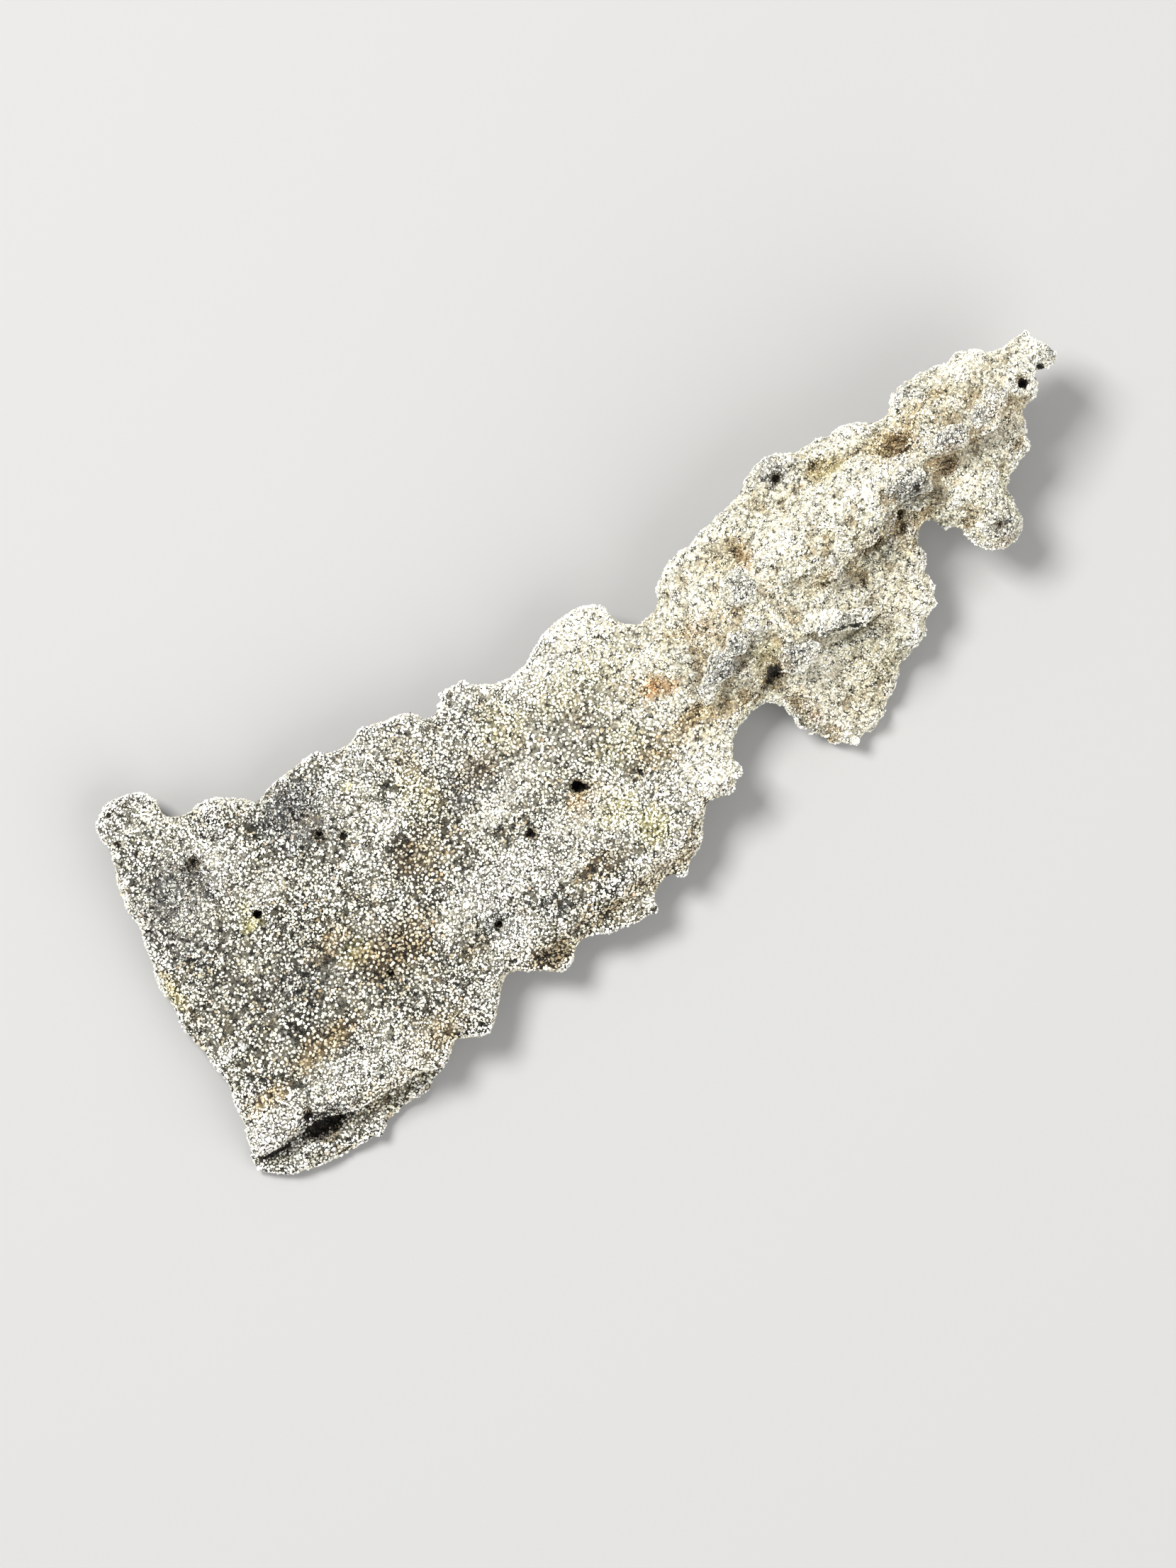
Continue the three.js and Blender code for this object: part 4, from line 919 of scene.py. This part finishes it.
def sand_sizes(spots, facing):
    """The radius of a grain at each place, and how much of its reach it keeps clear."""
    upper = ramp(facing[:, 2], *UNDER_SAND)
    coarse = patches(spots, OPEN)
    fine = np.maximum(patches(spots, GREY), FINE_RIDGE * ramp(spots[:, 0], *FINE_ALONG))
    radius = RADIUS_PLAIN + (RADIUS_COARSE - RADIUS_PLAIN) * coarse
    radius += (RADIUS_FINE - radius) * fine
    radius = RADIUS_UNDER + (radius - RADIUS_UNDER) * upper
    radius *= SIZE_LEAST + SIZE_STRAY * random.rand(len(spots))
    room = CLOSENESS + ROOM_COARSE * coarse * upper + ROOM_UNDER * (1 - upper)
    return radius, room


def dust_sizes(spots, facing):
    """The same for dust, with none on the underside."""
    radius = RADIUS_DUST * (DUST_LEAST + DUST_STRAY * random.rand(len(spots)))
    radius[facing[:, 2] < SIDEWAYS] = 0
    return radius, np.full(len(spots), CLOSENESS)


def bare_spots(spots, facing, deep):
    """Which places stay bare glass."""
    gap = GAP_LEVEL + GAP_RIDGE * ramp(spots[:, 0], *RIDGE_SAND)
    gap = gap + GAP_DIM * patches(spots, DIM) + GAP_PALE * patches(spots, PALE)
    gap += GAP_HOLLOW * np.clip(deep, -HOLLOW_MOST, HOLLOW_MOST)
    return (wander(spots, GAP_SIZE, seed=7) < gap) & (facing[:, 2] > SIDEWAYS)


def sow(tries, sizes, others=(), other_radii=()):
    """Grain places, directions, hollowness and radii."""
    spots, facing, deep, area = drop_points(crust, tries)
    radii, room = sizes(spots, facing)
    _, hole_shade = inside_holes(spots, facing)
    allowed = (hole_shade < DARK_LEAST + DARK_STRAY * random.rand(tries)) & (radii > 0)
    allowed &= ~bare_spots(spots, facing, deep)
    spots, facing, deep = spots[allowed], facing[allowed], deep[allowed]
    radii, room = radii[allowed], room[allowed]
    kept = keep_clear(spots, radii * room, others, other_radii)
    print(f"{len(kept)} grains kept, {len(kept) / area:.1f} on each square millimetre")
    return spots[kept], facing[kept], deep[kept], radii[kept]


sand = sow(SAND_TRIES, sand_sizes)
dust = sow(DUST_TRIES, dust_sizes, sand[0].tolist(), sand[3].tolist())
grains = [np.concatenate(pair) for pair in zip(sand, dust)]
KINDS = {
    "stones": grains[3] >= RADIUS_STONE,
    "blocks": (grains[3] < RADIUS_STONE) & (grains[3] >= RADIUS_BLOCK),
    "chips": grains[3] < RADIUS_BLOCK,
}
print({kind: int(mine.sum()) for kind, mine in KINDS.items()})

# %% [markdown]
# ## Pebble shapes
# A few pebbles are modelled once: a coarse ball for the large stones, a block for the middle
# sizes and a pointed chip for the smallest, each knocked out of round. Every grain is a turned
# and stretched copy of one of them.

# %% Pebble shapes
SHAPES = 6  # of each kind
KNOCK = 0.22  # how far the corners are knocked, for a radius of about one


def add_stone():
    bpy.ops.mesh.primitive_ico_sphere_add(subdivisions=1, radius=1.0)


def add_block():
    bpy.ops.mesh.primitive_cube_add(size=1.4)


def add_chip():
    bpy.ops.mesh.primitive_cone_add(vertices=4, radius1=1.25, radius2=0, depth=1.2, end_fill_type="TRIFAN")


def pebble(add, number):
    """The corners and faces of one pebble, knocked out of round."""
    add()
    thing = bpy.context.object
    bpy.ops.object.mode_set(mode="EDIT")
    bpy.ops.mesh.select_all(action="SELECT")
    bpy.ops.transform.vertex_random(offset=KNOCK, uniform=1.0, normal=0.6, seed=number)
    bpy.ops.mesh.quads_convert_to_tris()
    bpy.ops.object.mode_set(mode="OBJECT")
    corners, _ = read_points(thing.data)
    faces = np.array([list(face.vertices) for face in thing.data.polygons])
    bpy.data.objects.remove(thing)
    return corners - corners.mean(axis=0), faces


SHAPE_MAKERS = {"stones": add_stone, "blocks": add_block, "chips": add_chip}
shapes = {
    kind: [pebble(add, number + 1) for number in range(SHAPES)] for kind, add in SHAPE_MAKERS.items()
}
print({kind: len(made[0][1]) for kind, made in shapes.items()}, "faces on each pebble")

# %% [markdown]
# ## Grain colours
# Quartz grains are frosted white and cream. Some are grey and clear, and a few are stained by
# iron. One wash of colour over them all would be simpler, but real sand is mixed grain by grain.
# So each grain draws its own colour, and the stains, painted shade and painted light of its place only
# change the odds.

# %% Colour of each grain
WHITE = np.array([0.92, 0.91, 0.82])
CREAM = np.array([0.91, 0.875, 0.65])
CLEAR_GREY = np.array([0.14, 0.132, 0.112])
TAN = np.array([0.50, 0.41, 0.25])
IRON = np.array([0.40, 0.25, 0.10])
RUSTY = np.array([0.70, 0.42, 0.16])
YELLOWISH = np.array([0.90, 0.84, 0.42])
HONEY = np.array([0.84, 0.68, 0.36])
DUN = np.array([0.68, 0.54, 0.29])
WORN_WHITE = np.array([0.92, 0.92, 0.90])
ASH = np.array([0.58, 0.58, 0.59])
# Odds and levels: the plain value, and how much each stain raises or lowers it
CREAM_LEVEL = {"plain": 0.38, "cream": 0.3}
# In hollows, painted shade makes the dark clear grains likelier.
CLEAR_ODDS = {"plain": 0.25, "cream": -0.05, "grey": 0.35, "dim": 0.35, "pale": -0.25, "dirt_and_shade": 0.2}
TAN_ODDS = {"plain": 0.12, "brown": 0.3}
IRON_ODDS = {"plain": 0.02, "brown": 0.30, "rust": 0.6}
# Painted shade dims the grains in hollows, and painted light brightens them on knobs.
BRIGHTNESS = {"plain": 0.80, "dirt_and_shade": -0.2, "dim": -0.15, "clean_and_lit": 0.08, "pale": 0.08}
CREAM_CHANCE, BRIGHT_CHANCE = 0.7, 0.24
BRIGHT_MOST = 0.94
CLUMP_SIZE, CLUMPING = 0.8, 0.8  # clear grains keep together in clumps
# The least that a grain takes of a colour, and how much more it may take by chance
CLEAR_TAKE, IRON_TAKE = (0.35, 0.65), (0.3, 0.6)
RUST_TAKE, HONEY_TAKE = (0.2, 0.6), (0.15, 0.6)
YELLOW_TAKE, DUN_TAKE, WORN_TAKE, ASH_TAKE = 0.5, 0.4, 0.6, 0.3
PALE_WORN, GREY_WORN = 0.7, 0.5  # pale sand counts as this worn, and grey takes this much off


def grain_colours(sown):
    """One colour for each grain, by chance and by the stains, painted shade and painted light of its
    place.
    """
    spots, facing, deep, _ = sown
    count = len(spots)
    zone = {"plain": 1.0, **zones(spots, facing, deep)}

    def level(weights):
        return sum(weight * zone[name] for name, weight in weights.items())

    def take(least, more):
        return least + more * random.rand(count)

    cream = level(CREAM_LEVEL) + CREAM_CHANCE * (random.rand(count) - 0.5)
    colour = mix(np.tile(WHITE, (count, 1)), CREAM, cream.clip(0, 1))
    clear = level(CLEAR_ODDS) + CLUMPING * (wander(spots, CLUMP_SIZE, seed=8) - 0.5)
    colour = mix(colour, CLEAR_GREY, (random.rand(count) < clear) * take(*CLEAR_TAKE))
    colour = mix(colour, TAN, (random.rand(count) < level(TAN_ODDS)) * random.rand(count))
    colour = mix(colour, IRON, (random.rand(count) < level(IRON_ODDS)) * take(*IRON_TAKE))
    colour = mix(colour, RUSTY, zone["rust"] * take(*RUST_TAKE))
    colour = mix(colour, YELLOWISH, YELLOW_TAKE * zone["yellow"])
    colour = mix(colour, HONEY, zone["golden"] * take(*HONEY_TAKE))
    colour = mix(colour, DUN, DUN_TAKE * zone["brown"])
    # Knobs are painted whiter, as if lit, besides their wear.
    wear_and_light = np.maximum(zone["clean_and_lit"], PALE_WORN * zone["pale"]) * (1 - GREY_WORN * zone["grey"])
    colour = mix(colour, WORN_WHITE, WORN_TAKE * wear_and_light)
    colour = mix(colour, ASH, ASH_TAKE * zone["grey"] * (1 - zone["clean_and_lit"]))
    brightness = level(BRIGHTNESS) + BRIGHT_CHANCE * random.rand(count)
    return np.clip(colour * brightness[:, None], 0, BRIGHT_MOST)


colours = grain_colours(grains)
print("mean grain colour", colours.mean(axis=0).round(2))

# %% [markdown]
# ## Building the grain meshes
# Each grain copies a pebble, turns and stretches it, and sinks it in the glass. Arrays place
# every corner at once, because fifty thousand objects would be far too slow. Each kind goes
# into a few meshes, each for one stretch of the piece's length, so that none is too heavy.

# %% Turn, stretch and place every grain
STRETCH_LEAST, STRETCH_STRAY = 0.80, 0.45  # a side is drawn between 0.80 and 1.25 of its size
SUNK = 0.25  # how much of its radius a grain's middle lies below the glass, on average
SUNK_LEAST, SUNK_STRAY = 0.4, 1.2  # a grain is sunk between 0.4 and 1.6 times that
PIECES = {"stones": 2, "blocks": 2, "chips": 2}  # how many meshes each kind fills


def random_turns(count):
    """Random rotation matrices."""
    q = random.normal(size=(count, 4))
    q /= np.linalg.norm(q, axis=1, keepdims=True)
    w, x, y, z = q.T
    rows = [
        [1 - 2 * (y * y + z * z), 2 * (x * y - z * w), 2 * (x * z + y * w)],
        [2 * (x * y + z * w), 1 - 2 * (x * x + z * z), 2 * (y * z - x * w)],
        [2 * (x * z - y * w), 2 * (y * z + x * w), 1 - 2 * (x * x + y * y)],
    ]
    return np.moveaxis(np.array(rows), 2, 0)


def grain_mesh(name, shapes, spots, facing, radii, colours):
    """One mesh of many grains, each a turned and stretched pebble."""
    count = len(spots)
    picked = random.randint(len(shapes), size=count)
    corners = np.stack([shapes[pick][0] for pick in picked])
    faces = np.stack([shapes[pick][1] for pick in picked])
    stretch = STRETCH_LEAST + STRETCH_STRAY * random.rand(count, 1, 3)
    corners = corners * stretch * radii[:, None, None]
    corners = np.einsum("nij,nkj->nki", random_turns(count), corners)
    sunk = radii * SUNK * (SUNK_LEAST + SUNK_STRAY * random.rand(count))
    middles = spots - facing * sunk[:, None]
    corners = corners + middles[:, None, :]
    lowest = corners[:, :, 2].min(axis=1)
    corners[:, :, 2] -= np.minimum(lowest, 0)[:, None]  # no grain reaches below the table
    each = corners.shape[1]
    faces = faces + (np.arange(count) * each)[:, None, None]
    mesh = bpy.data.meshes.new(name)
    mesh.vertices.add(count * each)
    mesh.vertices.foreach_set("co", (corners * MM).ravel())
    mesh.loops.add(faces.size)
    mesh.loops.foreach_set("vertex_index", faces.ravel().astype(np.int32))
    mesh.polygons.add(faces.size // 3)
    mesh.polygons.foreach_set("loop_start", np.arange(0, faces.size, 3, dtype=np.int32))
    mesh.update(calc_edges=True)
    mesh.validate()
    mesh.polygons.foreach_set("use_smooth", np.zeros(faces.size // 3, dtype=bool))
    colour_mesh(mesh, np.repeat(colours, each, axis=0))
    thing = bpy.data.objects.new(name, mesh)
    bpy.context.collection.objects.link(thing)
    return thing


def grain_pieces(kind):
    """Meshes of grains, one for each stretch of the length."""
    made = []
    mine = np.flatnonzero(KINDS[kind])
    order = mine[np.argsort(grains[0][mine, 0], kind="stable")]
    for number, part in enumerate(np.array_split(order, PIECES[kind])):
        spots, facing, _, radii = (array[part] for array in grains)
        made.append(grain_mesh(f"{kind}_{number + 1}", shapes[kind], spots, facing, radii, colours[part]))
        print(made[-1].name, len(made[-1].data.polygons), "faces")
    return made


sand_meshes = [mesh for kind in KINDS for mesh in grain_pieces(kind)]

# %% [markdown]
# ## The finish of the grains
# Frosted quartz: the grain's own colour with a little cloudiness, a rough satin surface, and a
# fine frosting bump. One finish serves all the grains, because the colour is on their meshes.

# %% Grain finish
FROST_SCALE = 12000.0
FROST_SPREAD, FROST_SHADE = (0.3, 0.7), (0.82, 1.08)  # a little cloudiness
QUARTZ_ROUGH = 0.5
FROST_BUMP, FROST_DEEP = 0.35, 0.00003


def grain_finish():
    """Frosted quartz, in the colour of each grain."""
    finish, tree, shader = new_finish("frosted_quartz")
    link = tree.links.new
    place = node(tree, "ShaderNodeTexCoord").outputs["Object"]
    tint = node(tree, "ShaderNodeAttribute", attribute_name="tint").outputs["Color"]
    frost = node(tree, "ShaderNodeTexNoise", Scale=FROST_SCALE, Detail=3.0, Roughness=0.6)
    link(place, frost.inputs["Vector"])
    cloudy = rescale(tree, frost.outputs["Fac"], *FROST_SPREAD, *FROST_SHADE)
    link(brightened(tree, tint, cloudy), shader.inputs["Base Color"])
    shader.inputs["Roughness"].default_value = QUARTZ_ROUGH
    roughen(tree, shader, frost.outputs["Fac"], FROST_BUMP, FROST_DEEP)
    return finish


quartz = grain_finish()
for thing in sand_meshes:
    thing.data.materials.append(quartz)
print(len(sand_meshes), "grain meshes finished with", quartz.name)

# %% [markdown]
# ## Into metres and onto the body
# The crust is scaled down to metres. Crust and grains ride on the one body, and stand for the
# imported solid, which is hidden.

# %% Ride and replace
crust.data.transform(Matrix.Scale(MM, 4))
crust.data.update()
for thing in [crust, *sand_meshes]:
    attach(thing, "root")
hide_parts("fulgurite")

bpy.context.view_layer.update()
total = 0
for thing in [crust, *sand_meshes]:
    total += sum(len(face.vertices) - 2 for face in thing.data.polygons)
print("triangles in all", total)
